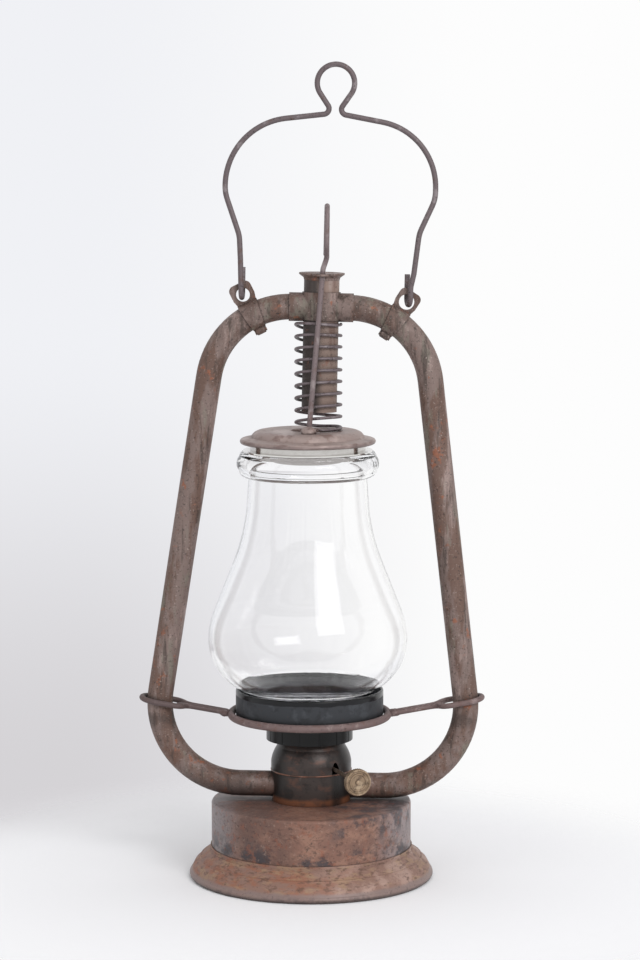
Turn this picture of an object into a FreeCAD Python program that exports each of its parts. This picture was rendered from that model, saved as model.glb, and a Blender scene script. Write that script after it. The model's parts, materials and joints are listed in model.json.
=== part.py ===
"""Wick-burning barn lantern, every piece at real size in millimetres.

The origin is the middle of the base on the table, +Z is up, the winder knob is on the -Y side and +X is to
the right of it. The crown, the side tubes and the bail lean a little to +X together, as an old lantern does.
"""
import FreeCAD, Part
import math
import os
import Sketcher
from types import SimpleNamespace
from FreeCAD import Placement, Rotation, Vector

SIZES = {
    # Sheet metal and fount
    "side_shift": -0.5, "tin": 0.7, "fit_gap": 0.1,
    "rim_radius": 74.95, "bead_radius": 2.25, "bead_height": 2.2,
    "flare_low_radius": 71.6, "flare_low_height": 8.8, "flare_high_radius": 64.2, "flare_high_height": 15.3,
    "skirt_top": 19.6, "ridge_height": 17.2, "flare_ridge": 12.05,
    "drum_radius": 61.3, "drum_bottom": 14.5, "drum_top": 47.3, "drum_shoulder": 1.8,
    "pan_height": 15.2, "pan_rim": 19.0,
    "filler_reach": 42.0, "filler_radius": 8.0, "filler_flange": 11.0, "filler_neck_top": 53.5,
    "filler_neck_bottom": 44.0, "cap_radius": 10.0, "cap_bottom": 49.2, "cap_top": 56.6, "cap_crown": 1.3,
    "cap_grip_radius": 0.9, "washer_thickness": 1.6, "washer_bore": 3.0,
    # Burner
    "collar_bore": 14.5, "collar_radius": 15.7, "collar_flange": 19.0,
    "collar_bottom": 43.5, "collar_top": 52.0,
    "deck_height": 52.9, "deck_radius": 17.5, "deck_skirt": 46.5,
    "chamber_radius": 24.15, "chamber_top": 66.3,
    "dome_radius": 24.65, "dome_shoulder": 71.8, "dome_waist_radius": 21.2, "dome_waist": 80.8,
    "dome_neck_radius": 18.8, "dome_top": 86.4,
    "keyhole_width": 5.0, "keyhole_top": 74.0, "keyhole_bottom": 66.9,
    "gallery_radius": 24.2, "gallery_bore": 14.2, "gallery_hole": 1.0, "gallery_hole_reach": 21.5,
    "gallery_holes": 24, "cone_radius": 18.4, "cone_shoulder": 93.5, "cone_top": 104.4, "cone_crown": 21.0,
    "flame_slot_length": 28.0, "flame_slot_width": 7.0,
    "wick_width": 25.2, "wick_thickness": 2.4, "wick_bottom": 33.0, "wick_top": 99.4,
    "wick_tube_width": 26.8, "wick_tube_thickness": 4.2, "wick_tube_wall": 0.5, "wick_tube_bottom": 44.0,
    "wick_tube_top": 97.0,
    # Winder
    "burner_turn": 21.3, "winder_height": 69.4, "winder_offset": 6.7, "shaft_radius": 1.25, "shaft_tail": 12.5,
    "shaft_reach": 59.8, "wheel_spacing": 6.0, "wheel_radius": 5.15, "wheel_root": 3.7, "wheel_width": 1.6,
    "wheel_teeth": 10, "wheel_pitch": 36.0, "hub_radius": 2.2,
    "cheek_reach": 10.0, "cheek_thickness": 1.0, "cheek_height": 8.0, "cheek_depth": 7.6,
    "knob_radius": 8.1, "knob_back": 57.4, "knob_thickness": 4.2, "knob_hub": 3.1,
    "knob_hub_length": 3.0, "knob_dish": 0.8, "knob_pin": 1.7, "knob_flutes": 40, "knob_flute_radius": 0.45,
    # Leaning frame: side tubes, crown and stack
    "lean": 1.2, "tube_radius": 7.8, "tube_slant": 7.7, "bend_radius": 50.0, "foot_height": 56.5,
    "crown_height": 350.2, "shoulder_reach": 17.6, "foot_end": 21.5, "crown_end": 13.5,
    "stack_radius": 10.7, "stack_bottom": 287.0, "stack_top": 366.6, "tee_radius": 11.6, "tee_top": 359.4,
    "tee_bottom": 342.6, "arm_radius": 8.7, "arm_reach": 19.5, "cap_disc_radius": 13.8, "crown_cap_top": 371.0,
    "cap_plate": 1.1, "guide_reach": 17.3, "guide_radius": 5.0, "guide_hole": 3.3, "guide_side": -0.7,
    # Ear bands
    "ear_angle_left": 27.8, "ear_angle_right": 32.0,
    "band_bore": 8.05, "band_radius": 8.8, "band_width": 12.6, "band_narrow": 7.6, "ear_width": 14.0,
    "ear_top": 21.2, "ear_thickness": 1.6, "ear_corner": 3.4,
    "ear_hole_left": 4.15, "ear_hole_right": 4.65, "ear_hole_height": 13.9,
    "clinch_radius": 2.9, "clinch_height": 9.5, "clinch_width": 7.4,
    # Bail
    "bail_wire": 1.65, "hook_gap": 4.5, "hook_drop": 7.7, "hook_tip": 10.4, "pivot_rise": 6.1,
    # Carriage: globe plate, guard and globe
    "carriage_shift": -1.0, "cup_radius": 45.25, "cup_bottom": 98.6, "cup_top": 116.6, "cup_bead": 1.2,
    "cup_heel": 3.0, "ring_radius": 26.5, "ring_bottom": 85.3, "lip_radius": 22.6, "lip_height": 87.4,
    "ring_creases": 14, "ring_crease_width": 0.5, "ring_crease_depth": 0.25,
    "floor_holes": 16, "floor_hole": 2.2, "floor_hole_reach": 31.5,
    "guard_radius": 48.05, "guard_wire": 2.35, "guard_height": 100.6, "loop_wire": 1.7, "loop_start": 50.6,
    "loop_end": 104.2, "loop_start_height": 101.4, "loop_end_height": 111.0, "strand_gap": 1.8,
    "loop_half_width": 9.9, "loop_turn": 62.0, "loop_wide": 80.8,
    "globe_shift": -2.0, "glass": 2.0, "globe_foot_radius": 38.2, "globe_foot": 99.6, "globe_heel": 111.2,
    "globe_low_radius": 42.3, "globe_low": 117.2, "globe_belly": 60.9, "globe_belly_height": 147.0,
    "globe_low_bend": 33.17, "globe_high_bend": 48.0, "globe_cone": 21.5, "globe_waist": 196.0,
    "globe_neck_bend": 120.0, "globe_neck_slope": 4.0, "collar_low": 247.2, "collar_belly": 42.8,
    "collar_belly_height": 255.0, "globe_top": 262.6, "mouth_radius": 40.6,
    # Bell and what hangs it
    "bell_radius": 39.8, "bell_bead": 1.5, "bell_bead_height": 268.9, "bell_step_radius": 34.6,
    "bell_step": 271.4, "bell_shoulder_radius": 30.0, "bell_top": 275.4, "bell_bend": 5.0, "bell_hole": 12.0,
    "sleeve_radius": 35.2, "sleeve_bottom": 256.5, "sleeve_top": 270.0, "sleeve_flange": 39.4,
    "sleeve_flange_height": 262.8,
    "spring_side": 4.4, "spring_radius": 13.7, "spring_wire": 0.95, "spring_turns": 9.27, "spring_start": -90.0,
    "spring_bottom": 276.7, "spring_pitch": 7.22, "spring_front_rise": 1.8, "spring_left_rise": 1.9,
    "lift_wire": 1.6, "finger_height": 32.0, "finger_half_width": 9.5, "finger_bottom": 379.5,
}

# Bail path above each hook: across, share of the hook's offset, up and bend radius, in the leaning frame
BAIL_LEFT = (
    (-49.2, 1.0, 378.0, 30.0), (-50.1, 0.85, 392.5, 20.0), (-59.3, 0.0, 418.0, 22.0), (-59.2, 0.0, 458.5, 41.0),
)
BAIL_RIGHT = (
    (53.6, 1.0, 363.5, 12.0), (55.3, 1.0, 371.5, 14.0), (58.0, 0.75, 395.8, 20.0), (67.3, 0.0, 416.5, 20.0),
    (67.0, 0.0, 456.3, 39.5),
)
# Where each hook stands beside the middle of its ear's hole: the tip behind and the leg in front
HOOK_LEFT = (-0.4, -0.9)
HOOK_RIGHT = (0.2, 2.1)
EYE_CENTRE = (6.0, 484.6)
EYE_RADIUS = 11.2
EYE_NECK = 1.3
EYE_BEND = 3.4
EYE_FOOT = 466.6

# Lift wire from its foot on the bell to the finger loop: across, towards the back and up
LIFT_FOOT = (-1.4, -24.4)
LIFT_HEEL = (-1.2, -17.5)
LIFT_GUIDE = (7.2, -17.3, 374.0)
FINGER_SIDE = 9.4

PIECES = []


class Size:
    """A length or an angle, with the spreadsheet expression that gives it."""

    def __init__(self, value, text):
        self.value = float(value)
        self.text = text

    def __add__(self, other):
        return Size(self.value + number(other), f"({self.text} + {words(other)})")

    def __sub__(self, other):
        return Size(self.value - number(other), f"({self.text} - {words(other)})")

    def __mul__(self, other):
        return Size(self.value * number(other), f"({self.text} * {words(other)})")

    def __truediv__(self, other):
        return Size(self.value / number(other), f"({self.text} / {words(other)})")

    def __neg__(self):
        return Size(-self.value, f"(0 - {self.text})")

    def __radd__(self, other):
        return self + other

    def __rsub__(self, other):
        return Size(number(other) - self.value, f"({words(other)} - {self.text})")

    def __rmul__(self, other):
        return self * other


def number(size):
    """The plain number of a Size or of a number."""
    return size.value if isinstance(size, Size) else float(size)


def words(size):
    """The expression of a Size or of a number."""
    return size.text if isinstance(size, Size) else repr(float(size))


def sine(angle):
    """Sine of an angle in degrees."""
    return Size(math.sin(math.radians(angle.value)), f"sin({angle.text})")


def cosine(angle):
    """Cosine of an angle in degrees."""
    return Size(math.cos(math.radians(angle.value)), f"cos({angle.text})")


def make_sheet():
    """Writes every driving dimension into the spreadsheet and gives them back by name."""
    sheet = doc.addObject("Spreadsheet::Sheet", "dims")
    for row, (alias, value) in enumerate(SIZES.items(), start=1):
        sheet.set(f"A{row}", alias)
        sheet.set(f"B{row}", str(value))
        sheet.setAlias(f"B{row}", alias)
    doc.recompute()
    return SimpleNamespace(**{alias: Size(value, f"dims.{alias}") for alias, value in SIZES.items()})


def bind(thing, prop, size):
    """Ties a property to its expression."""
    thing.setExpression(prop, words(size))


def origin_part(body, role):
    """The origin plane or axis of a body with this role."""
    return next(feature for feature in body.Origin.OriginFeatures if feature.Role == role)


def new_body(name):
    """An empty body with its label, listed for writing."""
    body = doc.addObject("PartDesign::Body", name)
    body.Label = name
    PIECES.append(body)
    return body


def new_sketch(body, role, name, offset=0.0):
    """A sketch on an origin plane of the body, moved along the plane's normal."""
    sketch = body.newObject("Sketcher::SketchObject", name)
    sketch.AttachmentSupport = (origin_part(body, role), [""])
    sketch.MapMode = "FlatFace"
    if number(offset):
        sketch.AttachmentOffset = Placement(Vector(0, 0, number(offset)), Rotation())
        bind(sketch, "AttachmentOffset.Base.z", offset)
    return sketch


def constrain(sketch, constraint, label, size):
    """Adds a named dimension to a sketch and ties it to its expression."""
    index = sketch.addConstraint(constraint)
    name = f"{label}_{index}"
    sketch.renameConstraint(index, name)
    bind(sketch, f"Constraints.{name}", size)


def pin_point(sketch, edge, end, across, up):
    """Fixes one end of an edge at its distances from the sketch's origin."""
    for kind, size, axis in (("DistanceX", across, -2), ("DistanceY", up, -1)):
        if number(size) == 0:
            sketch.addConstraint(Sketcher.Constraint("PointOnObject", edge, end, axis))
        else:
            constrain(sketch, Sketcher.Constraint(kind, -1, 1, edge, end, number(size)), kind, size)


def add_edge(sketch, start, end):
    """A line, or an arc when the end corner has a radius (positive turns left); gives the edge and its ends."""
    a = Vector(number(start[0]), number(start[1]), 0)
    b = Vector(number(end[0]), number(end[1]), 0)
    if len(end) < 3 or number(end[2]) == 0:
        return sketch.addGeometry(Part.LineSegment(a, b)), 1, 2
    radius = number(end[2])
    chord = b - a
    left = Vector(-chord.y, chord.x, 0).normalize()
    rise = math.sqrt(max(radius * radius - chord.Length ** 2 / 4, 0))
    centre = (a + b) / 2 + left * math.copysign(rise, radius)
    first, last = (a, b) if radius > 0 else (b, a)
    angles = [math.atan2(point.y - centre.y, point.x - centre.x) for point in (first, last)]
    circle = Part.Circle(centre, Vector(0, 0, 1), abs(radius))
    edge = sketch.addGeometry(Part.ArcOfCircle(circle, angles[0], angles[1]))
    size = end[2] if radius > 0 else -end[2]
    constrain(sketch, Sketcher.Constraint("Radius", edge, abs(radius)), "arc", size)
    return (edge, 1, 2) if radius > 0 else (edge, 2, 1)


def draw_chain(sketch, corners, closed=True):
    """Lines and arcs through the corners, each (across, up) or (across, up, radius of the arc arriving)."""
    ends = corners[1:] + corners[:1] if closed else corners[1:]
    edges = [add_edge(sketch, start, end) for start, end in zip(corners, ends)]
    for (edge, start, _), corner in zip(edges, corners):
        pin_point(sketch, edge, start, corner[0], corner[1])
    for (edge, _, end), (after, start, _) in zip(edges, edges[1:] + edges[:1] if closed else edges[1:]):
        sketch.addConstraint(Sketcher.Constraint("Coincident", edge, end, after, start))
    if not closed:
        edge, _, end = edges[-1]
        pin_point(sketch, edge, end, corners[-1][0], corners[-1][1])


def draw_circle(sketch, across, up, radius):
    """A circle held by its centre and its radius."""
    circle = Part.Circle(Vector(number(across), number(up), 0), Vector(0, 0, 1), number(radius))
    edge = sketch.addGeometry(circle)
    pin_point(sketch, edge, 3, across, up)
    constrain(sketch, Sketcher.Constraint("Radius", edge, number(radius)), "radius", radius)


def rectangle(left, low, right, high):
    """Corners of an upright rectangle."""
    return [(left, low), (right, low), (right, high), (left, high)]


def revolve(body, corners, axis="V_Axis"):
    """Turns a closed outline, drawn on the body's XZ plane, about an axis of its sketch."""
    sketch = new_sketch(body, "XZ_Plane", f"{body.Name}_outline")
    draw_chain(sketch, corners)
    turn = body.newObject("PartDesign::Revolution", f"{body.Name}_turned")
    turn.Profile = sketch
    turn.ReferenceAxis = (sketch, [axis])
    turn.Angle = 360
    sketch.Visibility = False
    return turn


def turned(name, corners):
    """A piece turned about the upright axis."""
    body = new_body(name)
    revolve(body, corners)
    stand(body)
    return body


def pad(body, sketch, length):
    """Thickens a sketch by half the length to each side."""
    feature = body.newObject("PartDesign::Pad", f"{sketch.Name}_pad")
    feature.Profile = sketch
    feature.Midplane = True
    bind(feature, "Length", length)
    return feature


def pocket(body, sketch, length, one_way=False):
    """Cuts a sketch out of the body by half the length to each side, or the whole length one way."""
    doc.recompute()
    before = body.Shape.Volume
    feature = body.newObject("PartDesign::Pocket", f"{sketch.Name}_pocket")
    feature.Profile = sketch
    feature.Midplane = not one_way
    bind(feature, "Length", length)
    feature.Reversed = one_way
    doc.recompute()
    if body.Shape.Volume >= before - 0.01:
        raise RuntimeError(f"{feature.Name} cuts nothing")
    return feature


def around(body, features, count, axis="Z_Axis"):
    """Repeats features evenly round an axis of the body."""
    pattern = body.newObject("PartDesign::PolarPattern", f"{features[0].Name}_round")
    pattern.Originals = features
    pattern.Axis = (origin_part(body, axis), [""])
    pattern.Angle = 360
    bind(pattern, "Occurrences", count)
    body.Tip = pattern
    doc.recompute()
    return pattern


def place(thing, base=(0, 0, 0), axis=(0, 0, 1), angle=0.0):
    """Puts a piece in its place, with its moves and its turn tied to the sheet."""
    thing.Placement = Placement(Vector(*[number(v) for v in base]), Rotation(Vector(*axis), number(angle)))
    for letter, size in zip("xyz", base):
        if isinstance(size, Size):
            bind(thing, f"Placement.Base.{letter}", size)
    if isinstance(angle, Size):
        bind(thing, "Placement.Rotation.Angle", angle)


def stand(piece, across=0.0, back=0.0, up=0.0, axis=(0, 0, 1), angle=0.0):
    """Places a finished piece, beside the lantern's own axis."""
    place(piece, (across + d.side_shift, back, up), axis, angle)


def lean(piece):
    """Leans a piece with the frame, about the axis of the tubes' feet."""
    drop = d.foot_height * (1 - cosine(d.lean))
    stand(piece, -(d.foot_height * sine(d.lean)), 0, drop, (0, 1, 0), d.lean)


def burner_place(piece):
    """Turns a burner piece so that its own X runs out along the winder shaft."""
    stand(piece, angle=d.burner_turn - 90)


def lean_placement():
    """The frame's lean, for pieces whose shape is set in code."""
    turn = Rotation(Vector(0, 1, 0), d.lean.value)
    pivot = Vector(0, 0, d.foot_height.value)
    return Placement(pivot - turn.multVec(pivot) + Vector(d.side_shift.value, 0, 0), turn)


def make_skirt():
    """Flared base skirt: a sheet cone on the drum's foot, rolled round a wire at the rim and flat under it."""
    bead = d.rim_radius - d.bead_radius
    flat = 0.47
    low, high = d.flare_low_radius, d.flare_high_radius
    middle = (low + high) / 2
    inner = d.drum_radius + 0.05
    turned("base_skirt", [
        (inner, d.skirt_top), (inner, d.ridge_height - d.tin),
        (high - d.tin, d.flare_high_height - d.tin), (low - d.tin, d.flare_low_height - d.tin),
        (bead + 0.2, d.bead_height + d.bead_radius * 0.99), (bead - d.bead_radius, d.bead_height, d.bead_radius),
        (bead - flat, 0, d.bead_radius), (bead + flat, 0), (d.rim_radius, d.bead_height, d.bead_radius),
        (bead + d.bead_radius * 0.6, d.bead_height + d.bead_radius * 0.8, d.bead_radius),
        (low, d.flare_low_height), (middle + 0.53, d.flare_ridge - 0.46), (middle + 0.33, d.flare_ridge + 0.38),
        (middle - 0.53, d.flare_ridge + 0.46), (high, d.flare_high_height),
        (inner + d.tin * 1.6, d.ridge_height - 0.4),
        (inner + d.tin * 1.6, d.ridge_height + 0.6), (inner + d.tin, d.ridge_height + 0.9),
        (inner + d.tin, d.skirt_top),
    ])


def make_drum():
    """Fount drum: one drawn shell, open below, with a round shoulder and holes for the collar and filler."""
    wall = d.drum_radius - d.tin
    under = d.drum_top - d.tin
    shoulder = d.drum_top - d.drum_shoulder
    body = turned("fount_drum", [
        (d.drum_radius, d.drum_bottom), (d.drum_radius, shoulder),
        (d.drum_radius - d.drum_shoulder, d.drum_top, d.drum_shoulder), (d.collar_radius + d.fit_gap, d.drum_top),
        (d.collar_radius + d.fit_gap, under), (d.drum_radius - d.drum_shoulder, under),
        (wall, shoulder, -(d.drum_shoulder - d.tin)), (wall, d.drum_bottom),
    ])
    sketch = new_sketch(body, "XY_Plane", "filler_cutout", d.drum_top)
    draw_circle(sketch, 0, d.filler_reach, d.filler_radius + d.fit_gap)
    pocket(body, sketch, d.tin * 6)


def make_fount_fittings():
    """Bottom pan, burner collar and filler neck of the fount."""
    pan = d.drum_radius - d.tin - d.fit_gap
    turned("fount_bottom", [
        (0, d.pan_height), (pan, d.pan_height), (pan, d.pan_rim), (pan - d.tin, d.pan_rim),
        (pan - d.tin, d.pan_height + d.tin), (0, d.pan_height + d.tin),
    ])
    seat = d.drum_top + 0.05
    turned("burner_collar", [
        (d.collar_bore, d.collar_bottom), (d.collar_radius, d.collar_bottom), (d.collar_radius, seat),
        (d.collar_flange, seat), (d.collar_flange, seat + d.tin), (d.collar_radius, seat + d.tin),
        (d.collar_radius, d.collar_top), (d.collar_bore, d.collar_top),
    ])
    neck = turned("filler_neck", [
        (d.filler_radius - d.tin, d.filler_neck_bottom), (d.filler_radius, d.filler_neck_bottom),
        (d.filler_radius, seat), (d.filler_flange, seat), (d.filler_flange, seat + d.tin),
        (d.filler_radius, seat + d.tin), (d.filler_radius, d.filler_neck_top),
        (d.filler_radius - d.tin, d.filler_neck_top),
    ])
    stand(neck, 0, d.filler_reach)


def make_filler_cap():
    """Screw cap with a gripped edge and the cork washer that it carries."""
    bore = d.filler_radius + d.fit_gap * 3
    roof = d.cap_top - d.cap_crown
    cap = turned("filler_cap", [
        (0, roof), (bore, roof), (bore, d.cap_bottom), (d.cap_radius, d.cap_bottom),
        (d.cap_radius, d.cap_top - 0.8), (d.cap_radius - 0.8, d.cap_top, 0.8), (0, d.cap_top),
    ])
    sketch = new_sketch(cap, "XY_Plane", "cap_grip", d.cap_bottom)
    draw_circle(sketch, d.cap_radius + 0.4, 0, d.cap_grip_radius)
    around(cap, [pocket(cap, sketch, d.cap_top * 2)], d.gallery_holes)
    stand(cap, 0, d.filler_reach)
    low = d.filler_neck_top + d.fit_gap
    washer = turned("filler_washer", [
        (d.washer_bore, low), (d.filler_radius, low), (d.filler_radius, low + d.washer_thickness),
        (d.washer_bore, low + d.washer_thickness),
    ])
    stand(washer, 0, d.filler_reach)


def make_chamber():
    """Burner air chamber: a cup soldered on the fount, with a hole each side where the side tubes come in."""
    floor = d.drum_top + 0.05
    wall = d.chamber_radius - d.tin
    body = turned("burner_chamber", [
        (d.collar_flange + d.fit_gap, floor), (d.chamber_radius, floor), (d.chamber_radius, d.chamber_top),
        (wall, d.chamber_top), (wall, floor + d.tin), (d.collar_flange + d.fit_gap, floor + d.tin),
    ])
    sketch = new_sketch(body, "YZ_Plane", "tube_holes")
    draw_circle(sketch, 0, d.foot_height, d.tube_radius + 0.6)
    pocket(body, sketch, d.chamber_radius * 2 + 4)


def make_burner_deck():
    """Deck that screws into the collar and carries the wick tube through its slot."""
    skirt = d.collar_bore - d.fit_gap
    body = turned("burner_deck", [
        (0, d.deck_height), (skirt - d.tin, d.deck_height), (skirt - d.tin, d.deck_skirt), (skirt, d.deck_skirt),
        (skirt, d.deck_height), (d.deck_radius, d.deck_height), (d.deck_radius, d.deck_height + d.tin),
        (0, d.deck_height + d.tin),
    ])
    long_side = d.wick_tube_width / 2 + 0.1
    short_side = d.wick_tube_thickness / 2 + 0.1
    sketch = new_sketch(body, "XY_Plane", "deck_slot", d.deck_height)
    draw_chain(sketch, rectangle(-long_side, -short_side, long_side, short_side))
    pocket(body, sketch, d.tin * 4)
    burner_place(body)


def make_dome():
    """Burner dome: a drawn hood on the chamber, drawn in to a neck, with the keyhole that clears the shaft."""
    wall = d.tin
    body = turned("burner_dome", [
        (d.dome_radius, d.chamber_top + 0.05), (d.dome_radius, d.dome_shoulder),
        (d.dome_waist_radius, d.dome_waist, 21.0), (d.dome_neck_radius, d.dome_top),
        (d.dome_neck_radius - wall, d.dome_top), (d.dome_waist_radius - wall, d.dome_waist),
        (d.dome_radius - wall, d.dome_shoulder, -20.3), (d.dome_radius - wall, d.chamber_top + 0.05),
    ])
    sketch = new_sketch(body, "YZ_Plane", "keyhole", d.dome_radius)
    half = d.keyhole_width / 2
    side, low, high = d.winder_offset, d.keyhole_bottom, d.keyhole_top
    draw_chain(sketch, [
        (side - half, low), (side + half, low), (side + half, d.winder_height + 1.2),
        (side + half * 0.45, high - 0.8), (side, high, half * 0.55), (side - half * 0.45, high - 0.8, half * 0.55),
        (side - half, d.winder_height + 1.2),
    ])
    pocket(body, sketch, d.dome_radius)
    burner_place(body)


def make_gallery():
    """Air gallery: a pierced disc on the dome's neck, where the globe plate comes to rest."""
    low = d.dome_top + 0.05
    body = turned("burner_gallery", [
        (d.gallery_bore, low), (d.gallery_radius, low), (d.gallery_radius, low + d.tin),
        (d.gallery_bore, low + d.tin),
    ])
    sketch = new_sketch(body, "XY_Plane", "gallery_hole", low)
    draw_circle(sketch, d.gallery_hole_reach, 0, d.gallery_hole)
    around(body, [pocket(body, sketch, d.tin * 4)], d.gallery_holes)
    burner_place(body)


def make_cone():
    """Burner cone: a dome over the wick with the long flame slot across its crown."""
    low = d.dome_top + d.tin + 0.1
    inner = d.cone_radius - d.tin
    body = turned("burner_cone", [
        (d.cone_radius, low), (d.cone_radius, d.cone_shoulder), (0, d.cone_top, d.cone_crown),
        (0, d.cone_top - d.tin), (inner, d.cone_shoulder, -(d.cone_crown - d.tin)), (inner, low),
    ])
    half_long, half_wide = d.flame_slot_length / 2, d.flame_slot_width / 2
    sketch = new_sketch(body, "XY_Plane", "flame_slot", d.cone_top)
    draw_chain(sketch, rectangle(-half_long, -half_wide, half_long, half_wide))
    pocket(body, sketch, (d.cone_top - d.cone_shoulder) * 2)
    burner_place(body)


def make_box(name, length, width, height, corner):
    """A primitive block with its low corner given."""
    block = doc.addObject("Part::Box", name)
    bind(block, "Length", length)
    bind(block, "Width", width)
    bind(block, "Height", height)
    place(block, corner)
    return block


def make_rod(name, radius, length, base, axis, angle):
    """A primitive round rod that starts at its base and runs along +Z turned about an axis."""
    rod = doc.addObject("Part::Cylinder", name)
    bind(rod, "Radius", radius)
    bind(rod, "Height", length)
    place(rod, base, axis, angle)
    return rod


def combine(kind, name, shapes):
    """Joins or cuts primitives into one object of the document."""
    if kind == "Part::MultiFuse":
        result = doc.addObject(kind, name)
        result.Shapes = shapes
        return result
    result = doc.addObject("Part::Cut", name)
    result.Base, result.Tool = shapes
    return result


def make_wick_and_tube():
    """Flat wick and the tube that guides it, with two windows for the spur wheels."""
    long_side, short_side, wall = d.wick_tube_width, d.wick_tube_thickness, d.wick_tube_wall
    height = d.wick_tube_top - d.wick_tube_bottom
    outer = make_box("wick_tube_outer", long_side, short_side, height,
                     (-(long_side / 2), -(short_side / 2), d.wick_tube_bottom))
    bore = make_box("wick_tube_bore", long_side - wall * 2, short_side - wall * 2, height + 4,
                    (wall - long_side / 2, wall - short_side / 2, d.wick_tube_bottom - 2))
    slot_width = d.wheel_width + 1.2
    windows = [
        make_box(f"wheel_window_{index}", slot_width, 2, d.wheel_radius + 1.6,
                 (d.wheel_spacing * sign - slot_width / 2, short_side / 2 - 1,
                  d.winder_height - (d.wheel_radius + 1.6) / 2))
        for index, sign in enumerate((-1, 1))
    ]
    cuts = combine("Part::MultiFuse", "wick_tube_cuts", [bore] + windows)
    tube = combine("Part::Cut", "wick_tube", (outer, cuts))
    tube.Label = "wick_tube"
    burner_place(tube)
    PIECES.append(tube)
    body = new_body("wick")
    sketch = new_sketch(body, "YZ_Plane", "wick_face")
    draw_chain(sketch, rectangle(-(d.wick_thickness / 2), d.wick_bottom, d.wick_thickness / 2, d.wick_top))
    pad(body, sketch, d.wick_width)
    burner_place(body)


def make_winder():
    """Winder shaft, its two spur wheels on one hub, the cheeks that carry it and the knob."""
    axle = (0, d.winder_offset, d.winder_height)
    shaft = make_rod("winder_shaft", d.shaft_radius, d.shaft_tail + d.shaft_reach,
                     (-d.shaft_tail, d.winder_offset, d.winder_height), (0, 1, 0), 90)
    shaft_holder = combine("Part::MultiFuse", "winder_shaft_round", [shaft, make_rod(
        "winder_shaft_collar", d.shaft_radius + 0.6, 1.2, (d.cheek_reach + 2.2, d.winder_offset, d.winder_height),
        (0, 1, 0), 90)])
    shaft.Label = "shaft_rod"
    shaft_holder.Label = "winder_shaft"
    burner_place(shaft_holder)
    PIECES.append(shaft_holder)
    make_wheels(axle)
    make_cheeks()
    make_knob(axle)


def turned_on_shaft(name, corners, axle):
    """A piece turned about the winder shaft's own axis."""
    body = new_body(name)
    revolve(body, corners, "H_Axis")
    across = d.winder_offset * sine(90 - d.burner_turn)
    back = d.winder_offset * cosine(90 - d.burner_turn)
    stand(body, across, back, axle[2], (0, 0, 1), d.burner_turn - 90)
    return body


def make_wheels(axle):
    """Two toothed wheels on one hub: a star whose points and roots alternate."""
    reach = d.wheel_spacing + d.wheel_width / 2
    bore = d.shaft_radius + 0.05
    body = turned_on_shaft("wick_wheels", rectangle(-reach, bore, reach, d.hub_radius), axle)
    teeth = int(d.wheel_teeth.value)
    for index, sign in enumerate((-1, 1)):
        sketch = new_sketch(body, "YZ_Plane", f"wheel_{index}", d.wheel_spacing * sign)
        corners = []
        for step in range(2 * teeth):
            radius = d.wheel_radius if step % 2 == 0 else d.wheel_root
            turn = d.wheel_pitch * (step / 2)
            corners.append((radius * cosine(turn), radius * sine(turn)))
        draw_chain(sketch, corners)
        draw_circle(sketch, 0, 0, d.hub_radius - 0.2)
        pad(body, sketch, d.wheel_width)


def make_cheeks():
    """Two small cheeks soldered to the wick tube, pierced for the shaft."""
    solids = []
    for index, sign in enumerate((-1, 1)):
        plate = make_box(f"cheek_plate_{index}", d.cheek_thickness, d.cheek_depth, d.cheek_height,
                         (d.cheek_reach * sign - d.cheek_thickness / 2, d.wick_tube_thickness / 2 + 0.02,
                          d.winder_height - d.cheek_height / 2))
        hole = make_rod(f"cheek_hole_{index}", d.shaft_radius + 0.06, 6,
                        (d.cheek_reach * sign - 3, d.winder_offset, d.winder_height), (0, 1, 0), 90)
        solids.append(combine("Part::Cut", f"cheek_{index}", (plate, hole)))
    cheeks = doc.addObject("Part::Compound", "winder_cheeks")
    cheeks.Links = solids
    cheeks.Label = "winder_cheeks"
    burner_place(cheeks)
    PIECES.append(cheeks)


def make_knob(axle):
    """Winder knob: a disc with a raised rim, a shallow dished face, a middle pin and a fluted edge."""
    back, face = d.knob_back, d.knob_back + d.knob_thickness
    rim, dish = d.knob_radius, d.knob_dish
    bore = d.shaft_radius + 0.02
    body = turned_on_shaft("winder_knob", [
        (back - d.knob_hub_length, bore), (d.shaft_reach + 0.1, bore), (d.shaft_reach + 0.1, 0),
        (face + dish * 0.5, 0), (face + dish * 0.5, d.knob_pin * 0.6), (face, d.knob_pin),
        (face - dish, d.knob_pin + 0.1), (face - dish, rim * 0.52), (face - dish * 0.3, rim * 0.58),
        (face - dish * 0.3, rim * 0.66), (face - dish, rim * 0.72), (face - dish, rim * 0.8),
        (face, rim * 0.88), (face, rim - 0.5), (face - 0.5, rim), (back + 0.5, rim), (back, rim - 0.5),
        (back, d.knob_hub), (back - d.knob_hub_length, d.knob_hub),
    ], axle)
    sketch = new_sketch(body, "YZ_Plane", "knob_flute", back)
    draw_circle(sketch, d.knob_radius + 0.15, 0, d.knob_flute_radius)
    around(body, [pocket(body, sketch, d.knob_thickness * 3)], d.knob_flutes, "X_Axis")


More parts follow.
